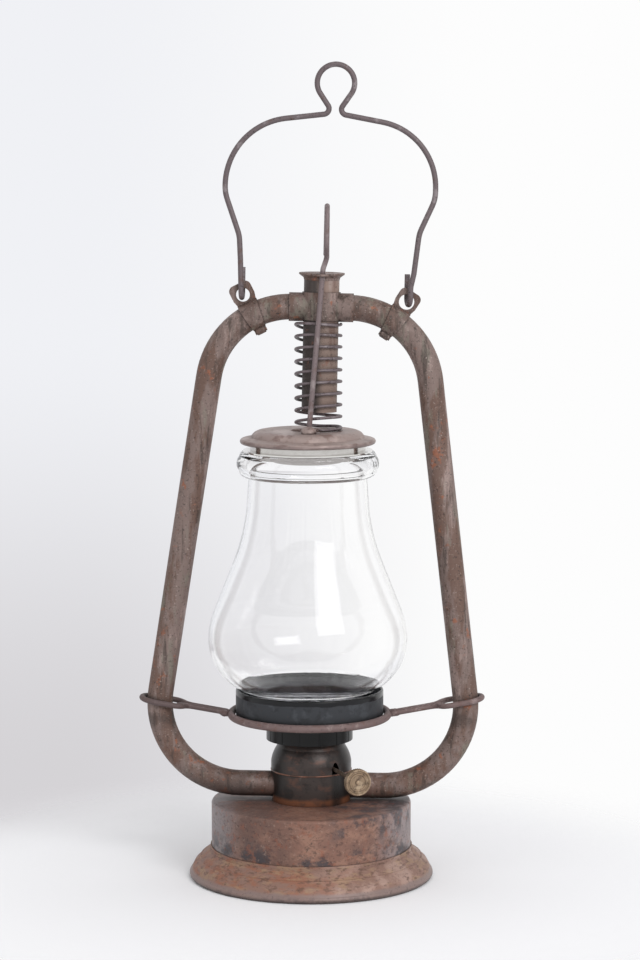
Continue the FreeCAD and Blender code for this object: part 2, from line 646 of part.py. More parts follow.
def make_side_tube(name, sign):
    """Side tube from the crown over the shoulder, down its slant and round the foot into the chamber."""
    bend, slant = d.bend_radius, d.tube_slant
    shoulder_up = d.crown_height - bend
    foot_up = d.foot_height + bend
    foot_reach = d.shoulder_reach + (shoulder_up - foot_up) * (sine(slant) / cosine(slant))
    path = [
        (d.crown_end, d.crown_height), (d.shoulder_reach, d.crown_height),
        (d.shoulder_reach + bend * cosine(slant), shoulder_up + bend * sine(slant), -bend),
        (foot_reach + bend * cosine(slant), foot_up + bend * sine(slant)),
        (foot_reach + bend * 0.7071, foot_up - bend * 0.7071, -bend),
        (foot_reach, d.foot_height, -bend), (d.foot_end, d.foot_height),
    ]
    mirrored = [(corner[0] * sign, corner[1]) + tuple(size * sign for size in corner[2:]) for corner in path]
    body = new_body(name)
    spine = new_sketch(body, "XZ_Plane", f"{name}_spine")
    draw_chain(spine, mirrored, closed=False)
    ring = new_sketch(body, "YZ_Plane", f"{name}_ring", d.crown_end * sign)
    draw_circle(ring, 0, d.crown_height, d.tube_radius)
    draw_circle(ring, 0, d.crown_height, d.tube_radius - d.tin)
    pipe = body.newObject("PartDesign::AdditivePipe", f"{name}_pipe")
    pipe.Profile = ring
    pipe.Spine = spine
    lean(body)


def make_tee():
    """Crown tee: an upright sleeve and two arms, bored through for the stack and the side tubes."""
    arm = d.arm_reach
    height = d.tee_top - d.tee_bottom
    outside = combine("Part::MultiFuse", "tee_outside", [
        make_rod("tee_upright", d.tee_radius, height, (0, 0, d.tee_bottom), (0, 0, 1), 0.0),
        make_rod("tee_arms", d.arm_radius, arm * 2, (-arm, 0, d.crown_height), (0, 1, 0), 90),
    ])
    inside = combine("Part::MultiFuse", "tee_inside", [
        make_rod("tee_stack_bore", d.stack_radius + d.fit_gap, height + 30,
                 (0, 0, d.tee_bottom - 15), (0, 0, 1), 0.0),
        make_rod("tee_arm_bore", d.tube_radius + d.fit_gap, arm * 2 + 4,
                 (-arm - 2, 0, d.crown_height), (0, 1, 0), 90),
    ])
    tee = combine("Part::Cut", "crown_tee", (outside, inside))
    tee.Label = "crown_tee"
    lean(tee)
    PIECES.append(tee)


def make_stack():
    """Stack tube with a hole each side that feeds the side tubes."""
    wall = d.stack_radius - d.tin
    body = turned("stack_tube", rectangle(wall, d.stack_bottom, d.stack_radius, d.stack_top))
    sketch = new_sketch(body, "YZ_Plane", "arm_holes")
    draw_circle(sketch, 0, d.crown_height, d.tube_radius - 1)
    pocket(body, sketch, d.stack_radius * 2 + 4)
    lean(body)


def make_crown_cap():
    """Crown cap: a flared lid on the stack, with a drilled lug in front that guides the lift wire."""
    low = d.stack_top + 0.05
    top = d.crown_cap_top
    under = top - d.cap_plate
    body = turned("crown_cap", [
        (d.stack_radius - d.tin, low), (d.stack_radius, low), (d.stack_radius + 0.5, low + 1.6),
        (d.cap_disc_radius, top - 0.9), (d.cap_disc_radius, top), (0, top), (0, under),
        (d.stack_radius - 0.4, under), (d.stack_radius - d.tin, low + 1.7),
    ])
    lug = new_sketch(body, "XY_Plane", "guide_lug", top - d.cap_plate / 2)
    side, reach = d.guide_side, d.guide_reach
    quarter = d.guide_radius * 0.7071
    draw_chain(lug, [
        (side - d.guide_radius, -(reach - 6)), (side - d.guide_radius, -reach),
        (side - quarter, -(reach + quarter), d.guide_radius), (side, -(reach + d.guide_radius), d.guide_radius),
        (side + quarter, -(reach + quarter), d.guide_radius), (side + d.guide_radius, -reach, d.guide_radius),
        (side + d.guide_radius, -(reach - 6)),
    ])
    pad(body, lug, d.cap_plate)
    hole = new_sketch(body, "XY_Plane", "guide_hole", top)
    draw_circle(hole, side, -reach, d.guide_hole)
    pocket(body, hole, d.cap_plate * 8)
    lean(body)


def ear_angle(sign):
    """Angle of an ear from the upright, about the middle of its shoulder bend."""
    return d.ear_angle_left if sign < 0 else d.ear_angle_right


def make_ear_band(name, sign):
    """Ear band: a strap round the tube's shoulder, clinched below, with the bail's pierced ear on top."""
    body = new_body(name)
    half, narrow = d.band_width / 2, d.band_narrow / 2
    revolve(body, rectangle(-half, d.band_bore, half, d.band_radius), "H_Axis")
    for side, edge in (("low", -1), ("high", 1)):
        taper = new_sketch(body, "XZ_Plane", f"{name}_taper_{side}")
        corners = [(half * edge, d.band_radius), (half * edge * 1.2, d.band_radius + 1),
                   (half * edge * 1.2, -(d.band_radius + 1)), (narrow * edge, -(d.band_radius + 1))]
        draw_chain(taper, corners)
        pocket(body, taper, d.band_radius * 3)
    ear = new_sketch(body, "XZ_Plane", f"{name}_ear")
    wide, corner, top = d.ear_width / 2, d.ear_corner, d.ear_top
    foot = d.band_bore + 0.2
    draw_chain(ear, [
        (-half + 0.4, foot), (half - 0.4, foot), (wide, d.ear_hole_height - 1.5), (wide, top - corner),
        (wide - corner, top, corner), (corner - wide, top), (-wide, top - corner, corner),
        (-wide, d.ear_hole_height - 1.5),
    ])
    draw_circle(ear, 0, d.ear_hole_height, d.ear_hole_left if sign < 0 else d.ear_hole_right)
    pad(body, ear, d.ear_thickness)
    clinch = new_sketch(body, "YZ_Plane", f"{name}_clinch")
    draw_circle(clinch, 0, -d.clinch_height, d.clinch_radius)
    pad(body, clinch, d.clinch_width * 0.72)
    end = new_sketch(body, "YZ_Plane", f"{name}_clinch_end")
    draw_circle(end, 0, -d.clinch_height, d.clinch_radius * 0.78)
    pad(body, end, d.clinch_width)
    bore = new_sketch(body, "YZ_Plane", f"{name}_bore")
    draw_circle(bore, 0, 0, d.band_bore)
    pocket(body, bore, d.band_width * 2)
    angle = ear_angle(sign) * sign
    at = (d.shoulder_reach * sign + d.bend_radius * sine(angle), 0,
          d.crown_height - d.bend_radius + d.bend_radius * cosine(angle))
    tilt = d.lean
    across = at[0] * cosine(tilt) + (at[2] - d.foot_height) * sine(tilt)
    up = (at[2] - d.foot_height) * cosine(tilt) - at[0] * sine(tilt) + d.foot_height
    stand(body, across, 0, up, (0, 1, 0), angle + tilt)


def ear_pivot(sign):
    """Middle of an ear's bar, straight above its hole, in the leaning frame, as numbers."""
    angle = math.radians(ear_angle(sign).value * sign)
    reach = (d.bend_radius + d.ear_hole_height).value
    shoulder = (d.crown_height - d.bend_radius + d.pivot_rise).value
    return Vector(d.shoulder_reach.value * sign + reach * math.sin(angle), 0, shoulder + reach * math.cos(angle))


def bent_wire(corners):
    """Straight runs joined by tangent arcs: each corner is a point and its bend radius, 0 at the ends."""
    points = [Vector(*corner[:3]) for corner in corners]
    edges = []
    last = points[0]
    for before, here, after, corner in zip(points, points[1:], points[2:], corners[1:]):
        back = (before - here).normalize()
        ahead = (after - here).normalize()
        half = back.getAngle(ahead) / 2
        reach = corner[3] / math.tan(half)
        middle = here + (back + ahead).normalize() * (corner[3] / math.sin(half) - corner[3])
        start, end = here + back * reach, here + ahead * reach
        if (start - last).Length > 1e-3:
            edges.append(Part.LineSegment(last, start).toShape())
        edges.append(Part.Arc(start, middle, end).toShape())
        last = end
    edges.append(Part.LineSegment(last, points[-1]).toShape())
    return Part.Wire(edges)


def round_sweep(path, radius):
    """A round wire swept along a path; its volume is compared with the section times the length."""
    first = path.Edges[0]
    start = first.valueAt(first.FirstParameter)
    along = first.tangentAt(first.FirstParameter)
    section = Part.Wire([Part.Circle(start, along, radius).toShape()])
    solid = path.makePipeShell([section], True, False)
    share = solid.Volume / (math.pi * radius ** 2 * path.Length)
    if abs(share - 1) > 0.01:
        raise RuntimeError(f"sweep holds {share:.3f} of its section times its length")
    return solid


def set_piece(name, shape, placement):
    """A piece whose shape is worked out in code from the sheet's sizes."""
    feature = doc.addObject("Part::Feature", name)
    feature.Label = name
    feature.Shape = shape
    feature.Placement = placement
    PIECES.append(feature)


def upright():
    """The lantern's own axis, for pieces whose shape is set in code."""
    return Placement(Vector(d.side_shift.value, 0, 0), Rotation())


def make_bail():
    """Wire bail: a hook through each ear, bowed legs, a round top and an open hanging eye in the middle."""
    gap, radius = d.hook_gap.value, d.bail_wire.value
    halves = []
    for sign, legs, (tip, leg) in ((-1, BAIL_LEFT, HOOK_LEFT), (1, BAIL_RIGHT, HOOK_RIGHT)):
        bar = ear_pivot(sign)
        low = bar.z - d.hook_drop.value
        hook = [
            (bar.x + tip * 1.2, gap, bar.z + d.hook_tip.value, 0), (bar.x + tip, gap, low, gap * 0.97),
            (bar.x + leg, -gap, low, gap * 0.97),
        ]
        halves.append(hook + [(across, -gap * out, up, bend) for across, out, up, bend in legs])
    corners = halves[0] + hanging_eye() + halves[1][::-1]
    set_piece("bail", round_sweep(bent_wire(corners), radius), lean_placement())


def hanging_eye():
    """Corners of the bail's open eye: two necks and three corners whose bends make one circle."""
    across, up = EYE_CENTRE
    drop = up - EYE_FOOT
    reach = math.hypot(EYE_NECK, drop)
    last = 180 - math.degrees(math.acos(EYE_RADIUS / reach) + math.atan2(EYE_NECK, drop))
    step = math.radians(last * 2 / 3)
    far = EYE_RADIUS / math.cos(step / 2)
    ring = [
        (across + far * math.sin(turn), 0, up + far * math.cos(turn), EYE_RADIUS * 0.9995)
        for turn in (-step, 0, step)
    ]
    return [(across - EYE_NECK, 0, EYE_FOOT, EYE_BEND)] + ring + [(across + EYE_NECK, 0, EYE_FOOT, EYE_BEND)]


def make_globe_plate():
    """Globe plate: a bead-rimmed cup with a pierced floor and, below it, a creased ring with a resting lip."""
    wall, cup, heel = d.tin, d.cup_radius, d.cup_heel
    floor, ring, bead = d.cup_bottom, d.ring_radius, d.cup_bead
    body = turned("globe_plate", [
        (ring, d.ring_bottom), (ring, floor), (cup - heel, floor), (cup, floor + heel, heel),
        (cup, d.cup_top - bead), (cup - bead, d.cup_top, bead), (cup - bead * 1.6, d.cup_top - bead * 0.8),
        (cup - wall, d.cup_top - bead * 1.6), (cup - wall, floor + heel),
        (cup - heel, floor + wall, -(heel - wall)),
        (ring - wall, floor + wall), (ring - wall, d.lip_height + wall), (d.lip_radius, d.lip_height + wall),
        (d.lip_radius, d.lip_height), (ring - wall, d.lip_height), (ring - wall, d.ring_bottom),
    ])
    crease = new_sketch(body, "YZ_Plane", "ring_crease", ring)
    half = d.ring_crease_width / 2
    draw_chain(crease, rectangle(-half, d.ring_bottom - 1, half, floor - 1))
    around(body, [pocket(body, crease, d.ring_crease_depth * 2)], d.ring_creases)
    hole = new_sketch(body, "XY_Plane", "floor_hole", floor)
    draw_circle(hole, d.floor_hole_reach, 0, d.floor_hole)
    around(body, [pocket(body, hole, wall * 6)], d.floor_holes)
    stand(body, d.carriage_shift)


def make_guard():
    """Guard: a thick ring round the cup and a wire hairpin each side that runs out round its tube."""
    body = new_body("guard_ring")
    sketch = new_sketch(body, "XZ_Plane", "guard_section")
    draw_circle(sketch, d.guard_radius, d.guard_height, d.guard_wire)
    ring = body.newObject("PartDesign::Revolution", "guard_ring_turned")
    ring.Profile = sketch
    ring.ReferenceAxis = (sketch, ["V_Axis"])
    ring.Angle = 360
    stand(body, d.carriage_shift)
    for name, sign in (("guard_loop_left", -1), ("guard_loop_right", 1)):
        make_guard_loop(name, sign)


def make_guard_loop(name, sign):
    """One hairpin: two strands side by side from the ring, parting round the side tube."""
    gap, half, start, end = (v.value for v in (d.strand_gap, d.loop_half_width, d.loop_start, d.loop_end))
    turn = math.radians(d.loop_turn.value)
    bend = (half - gap) / (2 * (1 - math.cos(turn)))
    run = (half - gap) / math.tan(turn)
    rise = (d.loop_end_height.value - d.loop_start_height.value) / (end - start)
    wide = d.loop_wide.value
    nearest = start + (d.carriage_shift + d.side_shift).value * sign
    plan = [(nearest, gap, 0), (wide - run, gap, bend * 0.98), (wide, half, bend * 0.98), (end, half, half * 0.999)]
    plan += [(across, -side, radius) for across, side, radius in reversed(plan)]
    corners = [
        (across * sign, side, d.loop_start_height.value + rise * (across - start), radius)
        for across, side, radius in plan
    ]
    set_piece(name, round_sweep(bent_wire(corners), d.loop_wire.value), Placement())


def globe_wall(inset):
    """Corners of one face of the glass, from foot to collar, set in from the outside by the glass."""
    cone, slope = d.globe_cone, d.globe_neck_slope
    low_bend, high_bend, neck_bend = d.globe_low_bend, d.globe_high_bend, d.globe_neck_bend
    centre = d.globe_belly - low_bend
    lean_low = (d.globe_low_radius - centre) / low_bend
    drop_low = (d.globe_belly_height - d.globe_low) / low_bend
    high_across = d.globe_belly - high_bend * (1 - cosine(cone))
    high_up = d.globe_belly_height + high_bend * sine(cone)
    waist_across = high_across - (d.globe_waist - high_up) * (sine(cone) / cosine(cone))
    neck_across = waist_across - neck_bend * (cosine(slope) - cosine(cone))
    neck_up = d.globe_waist + neck_bend * (sine(cone) - sine(slope))
    collar_across = neck_across - (d.collar_low - neck_up) * (sine(slope) / cosine(slope))
    return [
        (d.globe_low_radius - inset * lean_low, d.globe_low + inset * drop_low),
        (d.globe_belly - inset, d.globe_belly_height, low_bend - inset),
        (high_across - inset * cosine(cone), high_up - inset * sine(cone), high_bend - inset),
        (waist_across - inset * cosine(cone), d.globe_waist - inset * sine(cone)),
        (neck_across - inset * cosine(slope), neck_up - inset * sine(slope), -(neck_bend + inset)),
        (collar_across - inset, d.collar_low),
    ]


def backwards(corners):
    """The same chain of corners walked the other way, with its arcs turned round."""
    result = []
    for index, corner in enumerate(reversed(corners)):
        arriving = corners[len(corners) - index] if index else ()
        result.append(corner[:2] + ((-arriving[2],) if len(arriving) > 2 else ()))
    return result


def make_globe():
    """Blown glass globe: a round foot, a full belly low down, a long neck and a rolled collar at the mouth."""
    outside, inside = globe_wall(0 * d.glass), globe_wall(d.glass)
    foot, glass = d.globe_foot_radius, d.glass
    collar = [
        (d.collar_belly - 0.6, d.collar_low + 4.2, 5.0), (d.collar_belly - 1.2, d.globe_top - 2.6, 7.0),
        (d.mouth_radius - 0.6, d.globe_top, 3.0), (d.mouth_radius - 3.4, d.globe_top - 1.2),
        (d.mouth_radius - 3.9, d.globe_top - 4),
    ]
    body = turned("globe", [(foot - glass, d.globe_foot), (foot, d.globe_foot), (foot, d.globe_heel)]
                  + outside + collar + backwards(inside) + [(foot - glass, d.globe_heel + 1.6)])
    stand(body, d.globe_shift)


def make_bell():
    """Bell over the globe: a rolled rim, a shallow step, a round shoulder and a flat top bored for the stack."""
    wall, bead = d.tin, d.bell_bead
    rim, step, shoulder = d.bell_radius, d.bell_step_radius, d.bell_shoulder_radius
    top = d.bell_top
    body = turned("bell", [
        (10.5, top), (10.5, top - wall), (shoulder - 1.4, top - wall),
        (step - wall - 0.6, d.bell_step - wall, -5.6),
        (rim - bead * 0.8, d.bell_bead_height + bead * 0.5), (rim - bead, d.bell_bead_height, bead),
        (rim, d.bell_bead_height - bead, bead), (rim + bead, d.bell_bead_height, bead),
        (rim, d.bell_bead_height + bead, bead), (step, d.bell_step), (shoulder - 1.4, top, 6.2),
    ])
    hole = new_sketch(body, "XY_Plane", "stack_hole", top)
    draw_circle(hole, d.spring_side - d.globe_shift, 0, d.bell_hole)
    pocket(body, hole, wall * 6)
    stand(body, d.globe_shift)


def make_bell_sleeve():
    """Inner sleeve of the bell: it drops into the globe's mouth and its flange sits on the glass."""
    wall = d.tin
    outer, low, seat = d.sleeve_radius, d.sleeve_bottom, d.sleeve_flange_height
    body = turned("bell_sleeve", [
        (outer - wall, low), (outer, low), (outer, seat), (d.sleeve_flange, seat), (d.sleeve_flange, seat + wall),
        (outer, seat + wall), (outer, d.sleeve_top), (outer - wall, d.sleeve_top),
    ])
    stand(body, d.globe_shift)


def ramp(value, start, end):
    """Smooth change from 0 at the start to 1 at the end."""
    share = min(max((value - start) / (end - start), 0), 1)
    return share * share * (3 - 2 * share)


def helix_place(turn):
    """A place on the spring's middle line: a circle that climbs, its coils high in front and later on the left."""
    angle = math.radians(d.spring_start.value + 360 * turn)
    radius = d.spring_radius.value
    climbed = turn - 0.25
    rise = d.spring_pitch.value * (climbed + math.hypot(climbed, 0.08)) / 2
    front = ramp(climbed, -0.02, 0.27) - 0.7 * ramp(climbed, 8.3, 9.02)
    left = (turn / d.spring_turns.value) ** 2
    tilt = -front * d.spring_front_rise.value * math.sin(angle) - left * d.spring_left_rise.value * math.cos(angle)
    return Vector(d.spring_side.value + radius * math.cos(angle), radius * math.sin(angle),
                  d.spring_bottom.value + rise + tilt)


def helix_point(turn):
    """Place and direction of the spring's middle line."""
    step = 0.001
    return helix_place(turn), (helix_place(turn + step) - helix_place(turn - step)).normalize()


def biarc(start, end):
    """Two tangent arcs from one point and direction to another, meeting halfway."""
    (a, along_a), (b, along_b) = start, end
    chord, both = b - a, along_a + along_b
    spread = 2 * (1 - along_a.dot(along_b))
    reach = (math.sqrt(chord.dot(both) ** 2 + spread * chord.dot(chord)) - chord.dot(both)) / spread
    middle = (a + b + (along_a - along_b) * reach) / 2
    arcs = []
    for first, last, corner in ((a, middle, a + along_a * reach), (middle, b, b - along_b * reach)):
        halfway = (first + last) / 2
        half, rise = (last - first).Length / 2, (corner - halfway).Length
        radius = reach * half / rise
        top = halfway + (corner - halfway).normalize() * (radius - math.sqrt(radius ** 2 - half ** 2))
        arcs.append(Part.Arc(first, top, last).toShape())
    return arcs


def make_spring():
    """Coil spring between the tee and the bell: one wire on a helix of quarter-turn biarcs."""
    turns = d.spring_turns.value
    count = round(turns * 4)
    stations = [helix_point(turns * step / count) for step in range(count + 1)]
    edges = [arc for pair in zip(stations, stations[1:]) for arc in biarc(*pair)]
    set_piece("lift_spring", round_sweep(Part.Wire(edges), d.spring_wire.value), upright())
    samples = [helix_point(turns * step / 400)[0] for step in range(401)]
    apart = int(400 / turns / 2)
    gaps = [(p - q).Length for i, p in enumerate(samples) for q in samples[i + apart:]]
    print(f"lift_spring least gap to itself: {min(gaps) - 2 * d.spring_wire.value:.2f} mm")


def make_lift_wire():
    """Lift wire: soldered foot on the bell, a slanting run through the guide and a long finger loop on top."""
    radius = d.lift_wire.value
    low = d.bell_top.value + radius + 0.05
    bottom, half, height = d.finger_bottom.value, d.finger_half_width.value, d.finger_height.value
    guide = Vector(*LIFT_GUIDE)
    heel = Vector(LIFT_HEEL[0], LIFT_HEEL[1], low)
    side = FINGER_SIDE
    corners = [
        (LIFT_FOOT[0], LIFT_FOOT[1], low, 0), (heel.x, heel.y, heel.z, 2.6),
        (guide.x, guide.y, guide.z, 6.0), (side, guide.y - 0.6, bottom + 1, 4.0),
        (side, guide.y - half, bottom + 9, 5.5), (side + 0.3, guide.y - half, bottom + height, half * 0.9),
        (side + 0.3, guide.y + half, bottom + height, half * 0.9), (side - 0.3, guide.y + half, bottom + 6.5, 5.0),
        (side - 0.4, guide.y + 3.0, bottom + 3.2, 0),
    ]
    set_piece("lift_wire", round_sweep(bent_wire(corners), radius), upright())


def check_and_write():
    """Stops on any failed feature or bad solid, then writes one file for each piece."""
    doc.recompute()
    failed = [thing.Name for thing in doc.Objects if {"Invalid", "Error"} & set(thing.State)]
    if failed:
        raise RuntimeError(f"failed features: {failed}")
    for piece in PIECES:
        if piece.Shape.isNull() or not piece.Shape.isValid() or piece.Shape.Volume <= 0:
            raise RuntimeError(f"{piece.Label} has no valid shape")
    os.makedirs("parts", exist_ok=True)
    for piece in PIECES:
        piece.Shape.exportStep(f"parts/{piece.Label}.step")
    print(f"{len(PIECES)} pieces written")


doc = FreeCAD.newDocument("lantern")
d = make_sheet()
make_skirt()
make_drum()
make_fount_fittings()
make_filler_cap()
make_chamber()
make_burner_deck()
make_dome()
make_gallery()
make_cone()
make_wick_and_tube()
make_winder()
make_side_tube("side_tube_left", -1)
make_side_tube("side_tube_right", 1)
make_tee()
make_stack()
make_crown_cap()
make_ear_band("ear_band_left", -1)
make_ear_band("ear_band_right", 1)
make_bail()
make_globe_plate()
make_guard()
make_globe()
make_bell()
make_bell_sleeve()
make_spring()
make_lift_wire()
check_and_write()
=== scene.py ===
"""Barn lantern with a rusty tubular frame and a clear glass globe, dressed for a plain studio picture.

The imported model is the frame. Its nodes keep their shapes and get their finishes here, and the pieces that a
plain solid can't show well are laid over it as surfaces worked out with numpy. The lantern's own sizes are in
millimetres and become metres where they go into a mesh, a node or a call. The lamps' are in metres.
"""
import json
import math

import bpy
import numpy as np
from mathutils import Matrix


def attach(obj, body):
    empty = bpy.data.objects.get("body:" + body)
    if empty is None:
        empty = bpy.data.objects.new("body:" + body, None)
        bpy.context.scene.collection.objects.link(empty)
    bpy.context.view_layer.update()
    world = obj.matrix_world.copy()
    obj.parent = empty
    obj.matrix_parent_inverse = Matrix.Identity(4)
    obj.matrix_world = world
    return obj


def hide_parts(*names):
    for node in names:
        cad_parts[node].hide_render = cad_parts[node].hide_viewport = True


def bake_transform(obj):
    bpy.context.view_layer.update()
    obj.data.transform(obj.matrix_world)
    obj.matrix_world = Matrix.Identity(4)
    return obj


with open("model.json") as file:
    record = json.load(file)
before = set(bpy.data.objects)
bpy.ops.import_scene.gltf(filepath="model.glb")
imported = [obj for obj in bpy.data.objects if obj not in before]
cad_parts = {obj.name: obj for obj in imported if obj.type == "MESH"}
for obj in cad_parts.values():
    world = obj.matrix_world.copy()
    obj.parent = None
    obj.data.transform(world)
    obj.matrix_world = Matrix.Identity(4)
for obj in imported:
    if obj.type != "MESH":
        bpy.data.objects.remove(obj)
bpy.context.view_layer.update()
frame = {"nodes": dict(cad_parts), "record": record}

MM = 0.001
X, Y, Z, REACH = range(4)  # what bounds a coat: a place along an axis, or the distance from a middle line
SIDE_SHIFT = -0.5  # the middle of the frame and the burner, along x
CUP_MIDDLE = -1.5  # the middle of the cup and its guard ring, along x
GUARD_LOOP_MIDDLE = -1.0  # the middle between the two guard wires, along x

# The camera fitted to the photograph, with its focal length and its horizon's row in pixels
CAMERA_PLACE = (4.9 * MM, -1822 * MM, 463 * MM)
PICTURE_HEIGHT, FOCUS, HORIZON_ROW = 960, 3017, 119
SENSOR = 36
CAMERA_PITCH = math.atan2(PICTURE_HEIGHT / 2 - HORIZON_ROW, FOCUS)
CAMERA_LENS = SENSOR * FOCUS / PICTURE_HEIGHT

SPRING_MIDDLE = SIDE_SHIFT + 4.4  # along x
SPRING_REACH, SPRING_WIRE = 13.7, 0.95  # radius of the coils, and of their wire
SPRING_FOOT, SPRING_PITCH, SPRING_TURNS = 276.7, 7.22, 9.27
SPRING_JOIN = 6.1  # the turn where its two lengths meet

# Real widths behind the patterns of the finishes, in mm
EDGE_WOBBLE = 9  # how long the waves in a coat's edge are
DENT_WIDTH = 16  # broad dents of old sheet
CORNER_SHADE_REACH = 6  # corners narrower than this get painted shade, which also stands for grime
MOULD_WAVE = 34  # waves that the mould leaves in blown glass
RUST_GRAIN = 0.9  # about 0.2 in reality, too fine to show, so it is drawn coarser
SEED_STEP = 0.131  # how far each coat's noise is moved on from the last one's, in metres


def linear(code):
    """An sRGB hex colour as linear red, green, blue and a full alpha."""
    parts = [int(code[i:i + 2], 16) / 255 for i in (1, 3, 5)]
    return tuple(c / 12.92 if c <= 0.04045 else ((c + 0.055) / 1.055) ** 2.4 for c in parts) + (1.0,)


def add(tree, kind, inputs=None, **settings):
    """A node of this kind with its settings, its socket values and its links."""
    node = tree.nodes.new(kind)
    for name, value in settings.items():
        setattr(node, name, value)
    for name, value in (inputs or {}).items():
        if isinstance(value, bpy.types.NodeSocket):
            tree.links.new(value, node.inputs[name])
        else:
            node.inputs[name].default_value = value
    return node


def fresh(name):
    """An empty material, its node tree and its Object coordinates."""
    material = bpy.data.materials.new(name)
    material.use_nodes = True
    tree = material.node_tree
    tree.nodes.clear()
    return material, tree, add(tree, "ShaderNodeTexCoord").outputs["Object"]


def masked(tree, share, ramps):
    """A mask: a share, times a smooth ramp for each value from where it starts to where it is whole."""
    mask = share
    for value, start, end in ramps:
        ramp = add(tree, "ShaderNodeMapRange", {"Value": value, "From Min": start, "From Max": end},
                   interpolation_type="SMOOTHSTEP").outputs[0]
        mask = add(tree, "ShaderNodeMath", {0: ramp, 1: mask}, operation="MULTIPLY").outputs[0]
    return mask


def coat(colour, share, size, low=0.5, high=0.62, stretch=(1, 1, 1), within=(), rough=None):
    """One layer of an aged finish: its colour, how much it hides and the size of its patches in mm.

    Its cloudy noise is cut between low and high, and stretch thins the patches along an axis. Each entry of
    within bounds it in mm: what is measured, where the coat starts and where it is whole.
    """
    return {"colour": linear(colour), "share": share, "size": size, "low": low, "high": high,
            "stretch": stretch, "within": within, "rough": rough}


def coated(tree, place, base, rough, coats, seed, wander, middle):
    """The colour and the roughness of a base with its coats laid over it one after another.

    Their edges stray by up to wander, in mm, and reach is measured from the middle.
    """
    offset = (-middle[0] * MM, -middle[1] * MM, 0)
    flat = add(tree, "ShaderNodeVectorMath", {0: place, 1: (1, 1, 0), 2: offset}, operation="MULTIPLY_ADD")
    reach = add(tree, "ShaderNodeVectorMath", {0: flat.outputs[0]}, operation="LENGTH").outputs["Value"]
    axes = [*add(tree, "ShaderNodeSeparateXYZ", {"Vector": place}).outputs, reach]
    wobble = add(tree, "ShaderNodeTexNoise", {"Vector": place, "Scale": 1 / (EDGE_WOBBLE * MM),
                                              "Detail": 5}).outputs["Fac"]
    half = wander / 2
    colour, roughness = linear(base), rough
    for index, layer in enumerate(coats):
        shift = seed + SEED_STEP * index
        moved = add(tree, "ShaderNodeMapping", {"Vector": place, "Location": (shift, shift * 0.7, -shift),
                                                "Scale": layer["stretch"]}).outputs[0]
        cloud = add(tree, "ShaderNodeTexNoise", {"Vector": moved, "Scale": 1 / (layer["size"] * MM),
                                                 "Detail": 6, "Roughness": 0.62}).outputs["Fac"]
        ramps = [(cloud, layer["low"], layer["high"])]
        for axis, start, end in layer["within"]:
            strayed = add(tree, "ShaderNodeMath", {0: wobble, 1: wander * MM, 2: axes[axis]},
                          operation="MULTIPLY_ADD").outputs[0]
            ramps.append((strayed, (start + half) * MM, (end + half) * MM))
        mask = masked(tree, layer["share"], ramps)
        colour = add(tree, "ShaderNodeMix", {0: mask, 6: colour, 7: layer["colour"]},
                     data_type="RGBA").outputs[2]
        if layer["rough"] is not None:
            roughness = add(tree, "ShaderNodeMix", {0: mask, 2: roughness, 3: layer["rough"]},
                            data_type="FLOAT").outputs[0]
    return colour, roughness


def uneven(tree, place, grain, dent):
    """The surface's fine grain and, over it, the broad dents of old sheet, as deep as is given in mm."""
    fine = add(tree, "ShaderNodeTexNoise", {"Vector": place, "Scale": 1 / (RUST_GRAIN * MM), "Detail": 4})
    bump = add(tree, "ShaderNodeBump", {"Height": fine.outputs["Fac"], "Strength": 0.5,
                                        "Distance": grain * MM}).outputs[0]
    if dent:
        broad = add(tree, "ShaderNodeTexNoise", {"Vector": place, "Scale": 1 / (DENT_WIDTH * MM), "Detail": 2})
        bump = add(tree, "ShaderNodeBump", {"Height": broad.outputs["Fac"], "Strength": 0.6,
                                            "Distance": dent * MM, "Normal": bump}).outputs[0]
    return bump


def aged_tin(name, base, coats, rough=0.62, metal=0.15, shine=0.5, grain=0.1, dent=0.0, corner_shade="#2b2422",
             seed=0.0, wander=7, middle=(0, 0)):
    """An old surface: a base colour under coats of oxide, rust, stains and bare metal, and painted shade in the
    corners.

    The painted shade, which also stands for grime, covers up to three quarters of a corner. Specks of rust are
    usually under half a millimetre across, too small to show, so they are drawn as coats of 1 mm and more.
    """
    material, tree, place = fresh(name)
    colour, roughness = coated(tree, place, base, rough, coats, seed, wander, middle)
    # painted shade: ambient occlusion darkens the corners by up to three quarters, and this also stands for grime
    corner = add(tree, "ShaderNodeAmbientOcclusion", {"Distance": CORNER_SHADE_REACH * MM}, samples=6).outputs["AO"]
    corner_shade_mask = add(tree, "ShaderNodeMapRange", {"Value": corner, "From Min": 0.85, "From Max": 0.3,
                                             "To Max": 0.75}).outputs[0]
    colour = add(tree, "ShaderNodeMix", {0: corner_shade_mask, 6: colour, 7: linear(corner_shade)}, data_type="RGBA").outputs[2]
    skin = add(tree, "ShaderNodeBsdfPrincipled", {
        "Base Color": colour, "Roughness": roughness, "Metallic": metal, "Specular IOR Level": shine,
        "Normal": uneven(tree, place, grain, dent),
    })
    add(tree, "ShaderNodeOutputMaterial", {"Surface": skin.outputs[0]})
    return material


